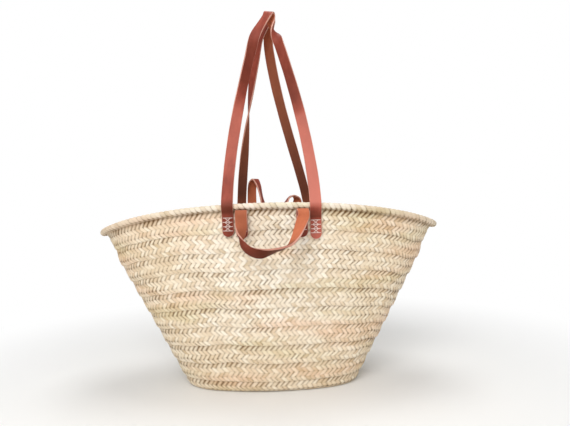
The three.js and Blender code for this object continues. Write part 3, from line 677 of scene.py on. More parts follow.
# %% Cord in every seam
for number in range(1, ROWS):
    above = ROW_OVERLAP + TOUCH_GAP + CORD_RADIUS
    slope = 0 if number == ROWS - 1 else ROW_TILT / ROW_LENGTH
    behind = -slope * (above + CORD_RADIUS) - PLAIT_THICKNESS - TOUCH_GAP - CORD_RADIUS
    laid_cord(f"seam_cord_{number:02d}", f"wall_seam_cord_{number:02d}", seam_up(number) + above, behind)
for number, up in ((1, FIRST_SEAM), (2, BASE_INNER)):
    behind = -PLAIT_THICKNESS - TOUCH_GAP - CORD_RADIUS
    laid_cord(f"base_cord_{number:02d}", f"base_seam_cord_{number:02d}", up, behind)

# %% [markdown]
# ## The whipped rim
#
# A bundle of leaf lies on the top edge and a flat strip is wound round it and through the plait. Two
# strips wound side by side give the steep slant of the turns in the photo. Each is one long ribbon: its
# angle round the bundle grows steadily with the distance along the rim.

# %% The rim's core and its winding
def rim_frame(angle):
    """The middle of the bundle, with the wall's directions there."""
    point, rising, out = wall_frame(angle, np.full(np.shape(angle), float(SLANT_FRONT)))
    return point - out * PLAIT_THICKNESS / 2, rising, out


def rim_ring(angle, turn, radius):
    """The middle of the bundle, less rising r cos t, plus out r sin t."""
    point, rising, out = rim_frame(angle)
    return turned_about(point, -rising, out, radius, turn)


WHIP_STARTS, WHIP_PITCH, WHIP_STEPS = 2, 8.3, 20
WHIP_LENS = np.array([-0.2, 0.45, -0.2, -0.6])
# Painted shade at each ribbon's edges, in the slits between turns, and at its back.
WHIP_EDGE_SHADE = np.array([0.7, 0, 0.7, 0.6])


def rim_winding(name):
    """Distance along the rim is pitch * starts * turns, and each ribbon is a flat lens nearly a pitch wide.
    Chance shifts and swells each turn, times sin(pi t) for a share t of the turn."""
    table = around(SLANT_FRONT)
    round_it = table[1][-1]
    turns = int(round(round_it / (WHIP_PITCH * WHIP_STARTS)))
    count = np.arange(turns * WHIP_STEPS)
    turned, which = count / WHIP_STEPS, count // WHIP_STEPS
    hump = np.sin(turned * PI % PI)
    parts = []
    for start in range(WHIP_STARTS):
        shift = chance.normal(0, 0.3, turns)[which] * hump
        along = (count / len(count) * round_it + shift)[:, None] + SECTION * WHIP_PITCH * 0.485
        turn = np.broadcast_to((-turned * 2 * PI + start * 2 * PI / WHIP_STARTS)[:, None], along.shape)
        swell = (chance.normal(0, 0.07, turns)[which] * hump)[:, None]
        radius = ROPE_RADIUS - 0.55 + WHIP_LENS + swell
        tone = np.repeat(chance.beta(3.0, 1.6, turns), WHIP_STEPS)[:, None] + 0 * along
        # Painted shade: the rope's underside and the slits between turns are mixed with olive through depth.
        below, side = smooth_step(0.1, 0.9, np.cos(turn)), smooth_step(-0.2, 0.5, np.cos(turn))
        depth = np.clip(0.6 * below + WHIP_EDGE_SHADE * (0.7 + 0.3 * side), 0, 1)
        uv = side_by_side(SECTION * 0.5, count[:, None] * 1.7)
        parts.append((rim_ring(angle_at(along, table), turn, radius), tone, depth, uv))
    return leaf_piece(name, parts, WHIP_STARTS, True, 70)


whip = palm_leaf("whipping leaf", (192, 172, 141), (218, 202, 179), (231, 219, 202), (243, 234, 222))
in_basket(rim_winding("rim_winding"), whip, "rim_whipping")
laid_cord("rim_bundle", "rim_core", SLANT_FRONT, -PLAIT_THICKNESS / 2, 3.4, 60, 12, 12)

# %% [markdown]
# ## Leather
#
# A strap has a smooth grain side, dyed reddish brown and a little glossy, and a flesh side, which is
# lighter, more orange and matt. The cut edges show the undyed middle as a thin pale pink line, with
# layers along it. The three finishes go on separate faces of each strap. A shade number along each strap
# paints shade into all three, and where it is below 0 a sheen onto the grain side.

# %% Three leather finishes
# The second of these colours is a painted sheen on the grain side.
CREASE, SHEEN_PINK = rgb(118, 54, 40), rgb(208, 124, 108)
# Both colours here are painted shade, on the grain side in places also the leather's own darker brown.
GRAIN_SHADE, FLESH_SHADE = rgb(88, 33, 12), rgb(84, 40, 24)


def grain_side(name):
    """A fine pebble, slow changes of tone along the strap and a soft shine. Shade is the share of a darker
    brown, painted shade that in places is also the leather's own darker tone, and where it is below 0 its
    opposite is the share of a pink that is a painted sheen."""
    finish = Finish(name, IOR=1.3)
    shade = finish.attribute("shade")
    cloud = finish.noise("UV", (26, 60, 1), 3, 0.55)
    pebble = finish.noise("UV", (900, 900, 1), 2, 0.6)
    creases = finish.noise("UV", (160, 30, 1), 3, 0.65)
    colour = finish.ramp(cloud, (0.25, rgb(120, 49, 36)), (0.8, rgb(170, 85, 69)), (0.5, rgb(147, 66, 50)))
    colour = finish.colour_mix(finish.spread(creases, 0.56, 0.75, 0, 0.5), colour, CREASE)
    # Painted sheen where shade is below 0.
    colour = finish.colour_mix(-1 * shade, colour, SHEEN_PINK)
    # Painted shade where shade is above 0.
    colour = finish.colour_mix(shade, colour, GRAIN_SHADE)
    return finish.finish(colour, 0.44 + 0.22 * cloud, finish.bump(0.5 * pebble + creases, 0.3, 0.0004))


def flesh_side(name):
    """Short nap: fine specks over an orange tan, with no shine."""
    finish = Finish(name)
    shade = finish.attribute("shade")
    cloud = finish.noise("UV", (40, 70, 1), 4, 0.6)
    nap = finish.noise("UV", (700, 1100, 1), 2, 0.7)
    colour = finish.ramp(0.6 * cloud + 0.4 * nap, (0.2, rgb(166, 84, 50)), (0.85, rgb(212, 122, 83)))
    # Painted shade: shade mixes in the darker brown.
    colour = finish.colour_mix(shade, colour, FLESH_SHADE)
    return finish.finish(colour, 0.78 + 0.12 * nap, finish.bump(nap, 0.35, 0.0003))


# The cut edge takes half the strap's shade as a darker brown: painted shade.
cut_edge = streaked("leather cut edge", (60, 2500, 1), 3, 0.6, (0.25, rgb(190, 128, 110)),
                    (0.8, rgb(226, 176, 158)), 0.6, 0.2, 0.0002, rgb(150, 84, 62))
leather = [grain_side("leather grain side"), flesh_side("leather flesh side"), cut_edge]

# %% [markdown]
# ## The strap paths
#
# Each handle is one strap: up the wall from its round end, past the rim, through its loop, and down to
# the other end. First comes where the ends sit. The wall is curved, so an end lies on the edge of the
# strap that touches first, and leans as the wall does.

# %% Handle sizes
STRAP_WIDTH, STRAP_THICKNESS = 18, 3
HANDLE_CENTRE, LONG_SPAN, SHORT_SPAN = 9, 68, 46.5
SEWN_LENGTH, END_BELOW_RIM, NECK = 31, 19, 5
LONG_TOP, LOOP_RADIUS, FOLD_RADIUS = 651, 6.25, 5.75
RIM_GAP, HANGING_START = 0.8, 1.3
HANGING = {"depth": 31, "height": 54}
FLIPPED = {"depth": 46, "height": 52}
RIM_HEIGHT = outer_face(-PI / 2, SLANT_FRONT)[2] + ROPE_RADIUS
HINGE_HEIGHT = RIM_HEIGHT - END_BELOW_RIM
SEWN_BOTTOM = HINGE_HEIGHT - NECK - SEWN_LENGTH
print("hinge height", round(HINGE_HEIGHT, 2), "mm, bottom of the sewn ends", round(SEWN_BOTTOM, 2), "mm")


# %% Where the wall and the rope are in front of the middle plane
def point_at(x, points):
    """Where a line of points, given by its angle, reaches x in its front right quarter."""
    ones = np.ones(x.shape)
    return points(crossing(lambda angle: points(angle)[..., 0] - x, -PI / 2 * ones, 0 * ones, 30))


def face_depth(x, z):
    """The height up is found by halving until the point there that reaches x also reaches z; then -y."""
    x, z = np.broadcast_arrays(np.abs(np.asarray(x, float)), np.asarray(z, float))
    ones = np.ones(x.shape)

    def at_height(up):
        return point_at(x, lambda angle: outer_face(angle, up))

    up = crossing(lambda up: at_height(up)[..., 2] - z, CORNER_RADIUS * ones, SLANT_FRONT * 1.1 * ones, 30)
    return -at_height(up)[..., 1]


def rope_at(x):
    """The rope's depth in front of the middle plane and its height at each x."""
    middle = point_at(np.abs(np.asarray(x, float)), lambda angle: rim_frame(angle)[0])
    return -middle[..., 1], middle[..., 2]


# %% The seat of a sewn end, and the way past the rim
class Seat:
    """A sewn end's own frame: up the wall from the hinge height, and out from its inner face. Sewn by hand,
    one end is a little longer than the next, and its thread lies a little lower."""

    def __init__(self, x, longer=0.0, thread_lower=0.0):
        self.longer, self.thread_lower = longer, thread_lower
        edges = np.array([x - STRAP_WIDTH / 2, x + STRAP_WIDTH / 2])
        low, high = face_depth(edges, SEWN_BOTTOM).max(), face_depth(edges, HINGE_HEIGHT).max()
        self.x, self.lean = x, np.arctan2(high - low, HINGE_HEIGHT - SEWN_BOTTOM)
        self.inner = high + TOUCH_GAP / np.cos(self.lean)
        depth = rope_at(edges)[0].max() + ROPE_RADIUS + RIM_GAP + STRAP_THICKNESS / 2
        self.past_rim = np.array([x, -depth, rope_at(x)[1] + STRAP_THICKNESS / 2])

    def point(self, up, out, aside=0.0):
        up, out = np.asarray(up, float), np.asarray(out, float)
        depth = self.inner + up * np.sin(self.lean) + out * np.cos(self.lean)
        height = HINGE_HEIGHT + up * np.cos(self.lean) - out * np.sin(self.lean)
        return side_by_side(self.x + aside, -depth, height)


BY_HAND = {(LONG_SPAN, 1): ((-3.5, -0.8), (3.5, 6))}


def seat_pair(half_span, side):
    """The left seat and the right one, half the span from the handles' centre."""
    by_hand = BY_HAND.get((half_span, side), ((0, 0), (0, 0)))
    return [Seat(side * HANDLE_CENTRE + hand * half_span, *own) for hand, own in zip((-1, 1), by_hand)]


long_seats = {side: seat_pair(LONG_SPAN, side) for side in (1, -1)}
short_seats = {side: seat_pair(SHORT_SPAN, side) for side in (1, -1)}
print("the straps' sewn ends lean", [round(float(np.degrees(s.lean)), 1) for s in long_seats[1]], "degrees")

# %% [markdown]
# A path is a list of points with the direction of the strap's width at each. The long legs draw
# together and turn as they rise, and at the top they make a tight loop. A path is then laid out again by
# its length, so that the leather's grain keeps its scale.

# %% Parts of a path
ACROSS = np.array([1.0, 0, 0])


def steady(points, width):
    """The same width direction at every point."""
    return points, np.broadcast_to(np.asarray(width, float), points.shape)


def sewn_part(seat, width, top=0.0):
    """Straight up the wall from the round end."""
    length = (HINGE_HEIGHT - SEWN_BOTTOM) / np.cos(seat.lean) + seat.longer
    return steady(seat.point(np.linspace(-length, top, 20), STRAP_THICKNESS / 2), width)


def neck_part(seat, width):
    """A cubic Bezier curve from the hinge height to the place past the rim."""
    a, b = seat.point(TOUCH_GAP, STRAP_THICKNESS / 2), seat.point(TOUCH_GAP + NECK, STRAP_THICKNESS / 2)
    d = seat.past_rim
    c = d - [0, 0, NECK]
    t = np.linspace(0, 0.9, 8)[:, None]
    return steady((1 - t) ** 3 * a + 3 * t * (1 - t) ** 2 * b + 3 * t**2 * (1 - t) * c + t**3 * d, width)


# %% The legs and loops of the long handles
LEG_LEAN = (1.1, 1.25)
LOOPS = {1: (11, -28, 25), -1: (-11, -20, 0)}
LEGS = {
    1: [dict(bend=1.6, tightness=1, half_span=14, closing=0.86, width=0,
             turns=[(42, 0.15, 0.7), (-70, 0.74, 1)]),
        dict(bend=1.6, tightness=1, half_span=3, closing=0.85, width=180,
             turns=[(-30, 0.15, 0.75), (182, 0.84, 1)])],
    -1: [dict(bend=1.3, tightness=1.8, half_span=-4, closing=0.85, width=0, turns=[(-20, 0.3, 1)]),
         dict(bend=1.3, tightness=1, half_span=13, closing=0.88, width=-180, turns=[(160, 0.05, 0.9)])],
}


def level_way(degrees):
    """The direction (cos a, sin a, 0)."""
    return np.array([np.cos(np.radians(degrees)), np.sin(np.radians(degrees)), 0.0])


def loop_place(side):
    """The loop's middle, the level way from leg to leg, the strap's width direction, and its first lean."""
    x, degrees, tilt = LOOPS[side]
    way, width, lean = level_way(degrees - np.sign(degrees) * 90), level_way(degrees), np.radians(tilt)
    outer = LOOP_RADIUS + STRAP_THICKNESS / 2
    reach = STRAP_WIDTH / 2 * abs(width[1]) + outer * abs(way[1])
    rise = outer * np.cos(lean / 2) + STRAP_WIDTH / 2 * np.sin(lean / 2)
    return np.array([x, -1 - reach, LONG_TOP - rise]), way, width, lean


def leg_part(seat, leg, side, hand, steps=90):
    """Inward by 1 - (1 - s^bend)^tightness and back by 1 - (1 - s^1.1)^1.25 of the way, for a share s of the
    height. The last part closes up to the loop, and the width turns smoothly. Stations crowd at the top."""
    share = 1 - (1 - np.linspace(0, 1, steps)) ** 1.6
    middle, way, _, _ = loop_place(side)
    end, centre = middle + hand * LOOP_RADIUS * way, side * HANDLE_CENTRE
    drawn_in = 1 - (1 - share ** leg["bend"]) ** leg["tightness"]
    leaned = 1 - (1 - share ** LEG_LEAN[0]) ** LEG_LEAN[1]
    span = abs(seat.x - centre)
    x = centre + hand * (span + (leg["half_span"] - span) * drawn_in)
    x = x + (end[0] - x) * np.clip((share - leg["closing"]) / (1 - leg["closing"]), 0, 1) ** 2
    y = seat.past_rim[1] + (end[1] - seat.past_rim[1]) * leaned
    z = seat.past_rim[2] + (end[2] - seat.past_rim[2]) * share
    turned = sum(by * smooth_step(first, last, share) for by, first, last in leg["turns"])
    turned = np.radians(leg["width"] + turned)
    return np.stack([x, y, z], -1), np.stack([np.cos(turned), np.sin(turned), 0 * share], -1)


def loop_part(side):
    """Middle - way * r cos t, raised by r sin t, for t up to half a turn. Lean shrinks by (1 + cos t) / 2."""
    middle, way, width, lean = loop_place(side)
    turn = np.linspace(0, PI, 17)[1:-1, None]
    leaning = lean * (1 + np.cos(turn)) / 2
    rising = np.sin(leaning) * width + np.cos(leaning) * [0, 0, 1]
    points = middle - LOOP_RADIUS * np.cos(turn) * way + LOOP_RADIUS * np.sin(turn) * rising
    return points, np.cos(leaning) * width - np.sin(leaning) * [0, 0, 1]


def reverse(part):
    """The same part run backwards."""
    return part[0][::-1], part[1][::-1]


def whole_path(first, second, width, leave, *middle):
    """Up the first sewn end and away from it, through the middle, and the same way back at the second."""
    begin, end = ([sewn_part(seat, way), leave(seat, way)]
                  for seat, way in ((first, width), (second, -width)))
    return one_after_another([*begin, *middle, *map(reverse, end[::-1])])


def long_path(side):
    """Up the left leg, over the loop, down the right leg."""
    left, right = long_seats[side]
    up, down = leg_part(left, LEGS[side][0], side, -1), leg_part(right, LEGS[side][1], side, 1)
    return whole_path(left, right, ACROSS, neck_part, up, loop_part(side), reverse(down))


# %% [markdown]
# The short handles lie as they fell. Their routes are a few listed stations, as shares of the half
# span across, of the depth and of the height, each with a width direction, and a smooth line is passed
# through them: a Catmull-Rom curve, whose slope at each station comes from its two neighbours.

# %% The routes of the short handles
HANGING_ROUTE = np.array([
    [-1, 0, -0.17, 0.99, 0.15, 0], [-1, -0.08, -0.35, 0.86, 0.5, 0], [-1.02, -0.2, -0.5, 0.55, 0.83, 0],
    [-1.02, -0.35, -0.65, 0, 0.99, -0.12], [-0.97, -0.5, -0.79, -0.32, 0.8, -0.5],
    [-0.84, -0.64, -0.91, -0.42, 0.64, -0.64], [-0.63, -0.79, -0.99, -0.34, 0.6, -0.72],
    [-0.36, -0.92, -1.02, -0.2, 0.6, -0.78], [-0.1, -0.98, -0.985, -0.08, 0.84, -0.54],
    [0.14, -0.98, -0.93, 0, 0.96, -0.28], [0.35, -0.9, -0.885, 0, 0.98, -0.18],
    [0.58, -0.74, -0.8, -0.15, 0.98, 0], [0.76, -0.46, -0.61, -0.6, 0.8, 0],
    [0.92, -0.15, -0.32, -0.9, 0.4, 0], [1.01, 0, -0.12, -0.98, 0.15, 0]])
FLIPPED_ROUTE = np.array([
    [1, 0, 0.4, -1, 0, 0], [0.985, 0.01, 0.75, -0.98, -0.17, 0], [0.93, 0.07, 1, -0.87, -0.5, 0],
    [0.82, 0.18, 1.1, -0.62, -0.79, 0], [0.69, 0.3, 0.88, -0.42, -0.91, 0], [0.61, 0.4, 0.6, -0.24, -0.97, 0],
    [0.54, 0.5, 0.33, -0.2, -0.98, 0], [0.46, 0.62, 0.12, -0.3, -0.95, 0], [0.34, 0.76, 0, -0.4, -0.92, 0],
    [0.15, 0.86, -0.1, -0.3, -0.95, 0], [-0.05, 0.9, -0.14, 0, -1, 0], [-0.22, 0.86, -0.1, 0.3, -0.95, 0],
    [-0.36, 0.76, 0, 0.4, -0.92, 0], [-0.46, 0.62, 0.12, 0.3, -0.95, 0], [-0.55, 0.42, 0.24, 0.1, -1, 0],
    [-0.67, 0.26, 0.35, 0.12, -0.99, 0], [-0.81, 0.12, 0.41, 0.25, -0.97, 0],
    [-0.93, 0.04, 0.38, 0.5, -0.87, 0], [-1, 0, 0.27, 0.82, -0.57, 0], [-1, 0, 0.13, 0.99, -0.14, 0]])


def through(stations, steps=10):
    """A cubic through the stations; distances between them, square-rooted, space the cubic's parameter."""
    gap = np.sqrt(np.linalg.norm(np.diff(stations[:, :3], axis=0), axis=1))[:, None]
    step = np.diff(stations, axis=0) / gap
    inner = step[:-1] + step[1:] - (stations[2:] - stations[:-2]) / (gap[:-1] + gap[1:])
    slope = np.concatenate([step[:1], inner, step[-1:]])
    t = np.linspace(0, 1, steps, endpoint=False)[None, :, None]
    a, b, ma, mb = stations[:-1, None], stations[1:, None], slope[:-1, None], slope[1:, None]
    g = gap[:, None]
    curve = (2 * t**3 - 3 * t**2 + 1) * a + (t**3 - 2 * t**2 + t) * g * ma
    curve = curve + (3 * t**2 - 2 * t**3) * b + (t**3 - t**2) * g * mb
    return np.concatenate([curve.reshape(-1, 6), stations[-1:]])


def placed(route, centre, start, reach):
    """The route's shares turned into millimetres."""
    x = centre + route[:, 0] * SHORT_SPAN
    y, z = start[1] + route[:, 1] * reach["depth"], start[2] + route[:, 2] * reach["height"]
    return np.column_stack([x, y, z, route[:, 3:]])


# %% The two short handles
FOLD_LIFT, ASKEW = 2, dict(zip(short_seats[1], (0, 2.5)))


def fold_part(seat, width):
    """Half a circle from the wall outwards, over the sewn end's top, and aside by a (1 - cos t) / 2."""
    turn = np.linspace(0, PI, 15)[1:]
    up, out = (FOLD_RADIUS + FOLD_LIFT) * np.sin(turn), FOLD_RADIUS * (1 - np.cos(turn))
    return steady(seat.point(up, STRAP_THICKNESS / 2 + out, ASKEW[seat] * (1 - np.cos(turn)) / 2), width)


def hanging_path():
    """Up the wall, over the fold and down in front, then the same at the other end."""
    left, right = short_seats[1]
    out = STRAP_THICKNESS / 2 + 2 * FOLD_RADIUS
    route = placed(HANGING_ROUTE, HANDLE_CENTRE, left.point(-TOUCH_GAP, out), HANGING)
    ends = [np.concatenate([seat.point(-TOUCH_GAP - HANGING_START, out, ASKEW[seat]), way])
            for seat, way in ((left, ACROSS), (right, -ACROSS))]
    free = through(np.vstack([ends[0], route, ends[1]]))
    return whole_path(left, right, ACROSS, fold_part, (free[:, :3], free[:, 3:]))


def flipped_path():
    """Up past the rim, over and down inside, and back up to the other end."""
    left, right = short_seats[-1]
    route = placed(FLIPPED_ROUTE, -HANDLE_CENTRE, right.past_rim, FLIPPED)
    free = through(np.vstack([[*right.past_rim, -1, 0, 0], route, [*left.past_rim, 1, 0, 0]]))
    points, widths = whole_path(right, left, -ACROSS, neck_part, (free[:, :3], free[:, 3:]))
    return points, -widths


# %% [markdown]
# Sweeping the strap: at each point the section is a rectangle with small slanted corners, flat or curled
# like a gutter where the leather turns a tight corner. Towards each end its width shrinks like a half
# circle. The cutter's hand shows in a slight change of width along the strap.

# %% A strap from a path
TOO_CLOSE = 0.02


def evenly(points, widths, step=2.2):
    """Laid out again by length, in steps that grow from fine at the round ends to the full step."""
    keep = np.concatenate([[True], np.linalg.norm(np.diff(points, axis=0), axis=1) > TOO_CLOSE])
    points, widths = points[keep], unit(widths[keep])
    length = length_along(points)
    end = STRAP_WIDTH / 2 * (1 - np.cos(np.linspace(0, PI / 2, 12)))
    inner = np.linspace(STRAP_WIDTH / 2, length[-1] - STRAP_WIDTH / 2, int(length[-1] / step))[1:-1]
    distance = np.concatenate([end + TOO_CLOSE, inner, length[-1] - end[::-1] - TOO_CLOSE])
    columns = [np.interp(distance, length, column) for column in np.hstack([points, widths]).T]
    return np.stack(columns[:3], -1), np.stack(columns[3:], -1), distance


ACROSS_FACE = np.array([0.94, 0.62, 0.31, 0, -0.31, -0.62, -0.94])
FACE_CORNERS = len(ACROSS_FACE)
SECTION_ACROSS = np.concatenate([[1, 1], ACROSS_FACE, [-1, -1], -ACROSS_FACE])
ONE_FACE = np.ones(FACE_CORNERS)
SECTION_UP = np.concatenate([[-0.62, 0.62], ONE_FACE, [0.62, -0.62], -ONE_FACE])


def make_strap(points, widths, curls):
    """The section's middle line is an arc: across by h sin(c a) / c and towards the flesh side by
    h (1 - cos(c a)) / c, for a half width h, a curl c and a place a from -1 to 1. The corners stand off along
    the arc's own normal."""
    points, widths, distance = evenly(points, widths)
    along = unit(np.gradient(points, axis=0))
    across = unit(widths - along * (widths * along).sum(-1, keepdims=True))
    face = np.cross(along, across)
    to_end = np.minimum(distance, distance[-1] - distance)
    rounded = np.sqrt(np.clip(1 - (1 - np.clip(to_end / (STRAP_WIDTH / 2), 0, 1)) ** 2, 0.0004, 1))
    hand_cut = 1 + 0.012 * np.sin(distance / 23) + 0.008 * np.sin(distance / 9 + 1)
    half = (STRAP_WIDTH / 2 * rounded * hand_cut)[:, None]
    curl = np.interp(distance / distance[-1], *zip(*curls))[:, None] + 1e-4
    turned, thick = curl * SECTION_ACROSS, STRAP_THICKNESS / 2 * SECTION_UP
    sideways = half * np.sin(turned) / curl - thick * np.sin(turned)
    outwards = half * (1 - np.cos(turned)) / curl + thick * np.cos(turned)
    rings = points[:, None] + across[:, None] * sideways[..., None] + face[:, None] * outwards[..., None]
    uv = side_by_side(distance[:, None] * MM, half * SECTION_ACROSS * MM)
    return rings, uv, distance


def strap_piece(name, path, side_turn, body, nodes, start, end, shades, curls=((0, 0), (1, 0))):
    """The strap's mesh with its three finishes; the handle's body is not used. Shade and curl run in straight
    steps through (share of the length, value) pairs."""
    points, widths = path
    if side_turn < 0:
        points, widths = points * [-1, -1, 1], widths * [-1, -1, 1]
    rings, uv, distance = make_strap(points, widths, curls)
    corners = len(SECTION_ACROSS)
    faces = tube_faces(1, len(distance), corners)
    # Shade along the strap: painted shade, and below 0 a painted sheen on the grain side.
    shade = np.interp(distance / distance[-1], *zip(*shades))[:, None] + 0 * rings[..., 0]
    strap = make_piece(name, rings, faces, {"shade": shade}, uv, 35)
    for finish in leather:
        strap.data.materials.append(finish)
    corner = np.empty(len(faces) * 4, np.int32)
    strap.data.loops.foreach_get("vertex_index", corner)
    place = corner.reshape(-1, 4) % corners
    flesh = (place.min(1) >= 2) & (place.max(1) < 2 + FACE_CORNERS)
    grain = place.min(1) >= 4 + FACE_CORNERS
    finish_of = np.where(flesh, 1, np.where(grain, 0, 2)).astype(np.int32)
    strap.data.polygons.foreach_set("material_index", finish_of)
    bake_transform(strap)
    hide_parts(*nodes)
    print(name, "is", round(distance[-1]), "mm long")


# %% The four handles
def nodes_of(kind):
    """The solids that a whole strap stands for: the handle and its two sewn ends."""
    return [f"{kind}_handle", f"{kind}_left_end", f"{kind}_right_end"]


upright = [(0, 0, (HINGE_HEIGHT - 2) * MM), (0, 0, (HINGE_HEIGHT + 5) * MM)]
fold_front = short_seats[1][0].point(0, STRAP_THICKNESS)[1] * MM
fold = [(0, float(fold_front), 0.29), (0, float(fold_front) - 0.010, 0.29)]
# The shade pairs paint shade at the neck under the rim, on the back straps and where a strap is turned from
# the light or lies under another part; below 0 they paint a sheen on the front legs. On the sewn ends part of
# it is the leather's own browner tone.
strap_piece("front_long_strap", long_path(1), 1, "front_long_handle", nodes_of("front_long"), *upright,
            [(0, 0.4), (0.04, 0.4), (0.047, 0.85), (0.057, 0.8), (0.072, 0.15), (0.12, -0.1), (0.19, -0.3),
             (0.24, -0.4), (0.29, 0), (0.32, 0.6), (0.4, 0.6), (0.45, 0.1), (0.5, -0.2), (0.55, 0.2),
             (0.64, 0.5), (0.7, 0.6), (0.72, 0.4), (0.75, -0.4), (0.82, -0.55), (0.93, -0.75), (0.948, 0.4),
             (0.959, 0.85), (0.966, -0.2), (1, -0.4)])
strap_piece("back_long_strap", long_path(-1), -1, "back_long_handle", nodes_of("back_long"), *upright,
            [(0, 0.3), (0.1, 0.85), (0.4, 0.55), (0.5, 0.1), (0.65, 0.1), (0.8, 0.7), (0.9, 0.95), (1, 0.3)])
strap_piece("front_short_strap", hanging_path(), 1, "front_short_handle", nodes_of("front_short"), *fold,
            [(0, 0.4), (0.24, 0.35), (0.34, 0.6), (0.4, 0.7), (0.47, 1), (0.6, 1), (0.66, 0), (0.8, 0),
             (1, 0.4)],
            [(0.25, 0), (0.3, 0.3), (0.335, 0.9), (0.36, 1.3), (0.39, 1.1), (0.42, 0.7), (0.46, 0.4),
             (0.55, 0.1), (0.6, 0)])
strap_piece("back_short_strap", flipped_path(), -1, "back_short_handle", nodes_of("back_short"), *upright,
            [(0, 0.2), (0.5, 0.1), (1, 0.2)])

# %% [markdown]
# ## Thread
#
# Waxed thread holds each end: bars across, with crosses between them. Every strand comes out of one
# hole, lies on the leather and goes down the next. Where two strands cross, the second rides over the
# first. The strands are thin round tubes, off-white with a pink cast, and the finish gives them their
# twist.

# %% The thread's finish and its strands
thread = streaked("waxed thread", (1.4, 2, 1), 2, 0.6, (0.3, rgb(178, 138, 124)), (0.6, rgb(246, 230, 222)),
                  0.45, 0.3, 0.0002)
BAR_HALF, CROSS_HALF, STITCH_TOP, STITCH_HEIGHT, CROSSES = STRAP_WIDTH / 2 - 0.9, 4.2, 1 - NECK, 20, 3
THREAD_RADIUS, THREAD_SIDES, THREAD_STEPS = 0.5, 6, 17


def strands():
    """Each strand as (x1, up1, x2, up2, rise): bars, then the two diagonals of each cross."""
    lines = STITCH_TOP - STITCH_HEIGHT * np.arange(CROSSES + 1) / CROSSES
    bars = [[-BAR_HALF, up, BAR_HALF, up, 0] for up in lines]
    falling = [[-CROSS_HALF, a, CROSS_HALF, b, 0.1] for a, b in zip(lines, lines[1:])]
    rising = [[-CROSS_HALF, b, CROSS_HALF, a, 0.95] for a, b in zip(lines, lines[1:])]
    return np.array(bars + falling + rising)


def stitch_piece(name, seat, side, node):
    """A strand stands 0.35 out of the leather, less 2.2 |2t - 1|^12, which takes its ends down into the
    holes, plus a hop of rise * e^-(6(2t - 1))^2 where it crosses another."""
    ways = strands()
    t = np.linspace(0, 1, THREAD_STEPS)[None, :]
    edge = np.abs(2 * t - 1)
    x = ways[:, :1] + (ways[:, 2:3] - ways[:, :1]) * t + chance.normal(0, 0.2, (len(ways), 1))
    up = ways[:, 1:2] + (ways[:, 3:4] - ways[:, 1:2]) * t + chance.normal(0, 0.22, (len(ways), 1))
    out = STRAP_THICKNESS + 0.35 - 2.2 * edge**12 + ways[:, 4:] * np.exp(-((6 * (2 * t - 1)) ** 2))
    centre = seat.point(up - seat.thread_lower, out, x)
    along = unit(np.gradient(centre, axis=1))
    outward = unit(seat.point(0, 1) - seat.point(0, 0))
    aside = unit(np.cross(along, outward))
    up_way = np.cross(aside, along)
    turn = np.arange(THREAD_SIDES) / THREAD_SIDES * 2 * PI
    ring = aside[:, :, None] * np.cos(turn)[:, None] + up_way[:, :, None] * np.sin(turn)[:, None]
    rings = centre[:, :, None] + THREAD_RADIUS * ring
    if side < 0:
        rings = rings * [-1, -1, 1]
    uv = side_by_side(16 * t[..., None] + 0 * rings[..., 0], turn + 5 * t[..., None])
    faces = tube_faces(len(ways), THREAD_STEPS, THREAD_SIDES)
    in_basket(make_piece(name, rings, faces, None, uv, 80), thread, node)


for side, word in ((1, "front"), (-1, "back")):
    for kind, seats in (("long", long_seats[side]), ("short", short_seats[side])):
        for hand, seat in zip(("left", "right")[::side], seats):
            stitch_piece(f"{word}_{kind}_{hand}_thread", seat, side, f"{word}_{kind}_{hand}_stitches")

# %% [markdown]
# ## Stage, light and camera
#
# The floor is a pale sheet that curves up into a backdrop. Near the object it is an ordinary matt surface
# that takes a shadow. Farther off, where only the camera looks, it gives way to plain white.

# %% Floor and backdrop
def studio_sheet():
    """A profile in y and z, flat, then a quarter circle, then upright, carried along x."""
    turn = np.linspace(0, PI / 2, 12)
    y = np.concatenate([[-6.0], 2.0 + 1.5 * np.sin(turn), [3.5]])
    z = np.concatenate([[0.0], 1.5 * (1 - np.cos(turn)), [6.0]])
    x = np.array([-7.0, 7.0])
    points = np.stack([np.repeat(x, len(y)), np.tile(y, 2), np.tile(z, 2)], -1)
    i = np.arange(len(y) - 1)
    faces = np.stack([i, i + len(y), i + len(y) + 1, i + 1], -1)
    mesh = bpy.data.meshes.new("floor")
    mesh.from_pydata(points.tolist(), [], faces.tolist())
    sheet = bpy.data.objects.new("floor", mesh)
    bpy.context.collection.objects.link(sheet)
    return sheet


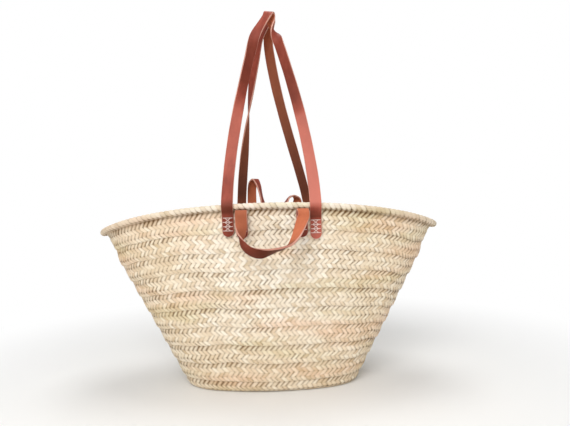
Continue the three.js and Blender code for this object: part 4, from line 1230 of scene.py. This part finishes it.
floor = studio_sheet()
paper = Finish("pale paper", Base_Color=(0.86, 0.86, 0.85, 1), Roughness=0.9)
white = paper.node("ShaderNodeEmission", None, {"Color": (1, 1, 1, 1), "Strength": 1.0})
from_middle = paper.node("ShaderNodeVectorMath", {"operation": "LENGTH"}, {
    "Vector": paper.node("ShaderNodeTexCoord", None, None, "Object")}, "Value")
seen = paper.node("ShaderNodeLightPath", None, None, "Is Camera Ray") * paper.spread(from_middle, 0.32, 0.85)
matt = Socket(paper, paper.shader.outputs[0])
mixed = paper.node("ShaderNodeMixShader", None, {0: seen, 1: matt, 2: white})
paper.feed(paper.tree.nodes["Material Output"].inputs["Surface"], mixed)
floor.data.materials.append(paper.material)

# %% Lamps
def softbox(name, place, target, size, power, colour=(1, 1, 1)):
    """A square lamp that faces a target."""
    light = bpy.data.lights.new(name, "AREA")
    light.shape, light.size, light.energy, light.color = "SQUARE", size, power, colour
    lamp = bpy.data.objects.new(name, light)
    lamp.location = place
    way = np.array(target) - np.array(place)
    lamp.rotation_mode = "QUATERNION"
    lamp.rotation_quaternion = Vector(way).to_track_quat("-Z", "Y")
    bpy.context.collection.objects.link(lamp)


softbox("key light", (-0.5, -1.9, 1.6), (0, 0, 0.25), 1.6, 40, (1, 0.99, 0.98))
softbox("fill light", (1.7, -1.3, 0.9), (0, 0, 0.25), 1.4, 5)
softbox("top light", (0.1, 0.2, 2.3), (0, 0, 0.2), 1.0, 18)
world = bpy.data.worlds.new("studio")
world.use_nodes = True
world.node_tree.nodes["Background"].inputs["Color"].default_value = (1, 1, 1, 1)
world.node_tree.nodes["Background"].inputs["Strength"].default_value = 0.38
bpy.context.scene.world = world

# %% Camera
FOCAL_PIXELS, IMAGE_WIDTH, SENSOR_WIDTH = 445, 570, 36
CAMERA_PLACE, CAMERA_ROLL = (0.0296, -0.798, 0.293), 1.6
lens = bpy.data.cameras.new("camera")
lens.sensor_fit, lens.sensor_width = "HORIZONTAL", SENSOR_WIDTH
lens.lens = FOCAL_PIXELS / IMAGE_WIDTH * SENSOR_WIDTH
camera = bpy.data.objects.new("camera", lens)
camera.location = CAMERA_PLACE
camera.rotation_mode = "XYZ"
camera.rotation_euler = (PI / 2, 0, 0)
camera.rotation_euler.rotate_axis("Z", -np.radians(CAMERA_ROLL))
bpy.context.collection.objects.link(camera)
bpy.context.scene.camera = camera
bpy.context.scene.view_settings.view_transform = "Standard"
print("lens", round(lens.lens, 2), "mm")
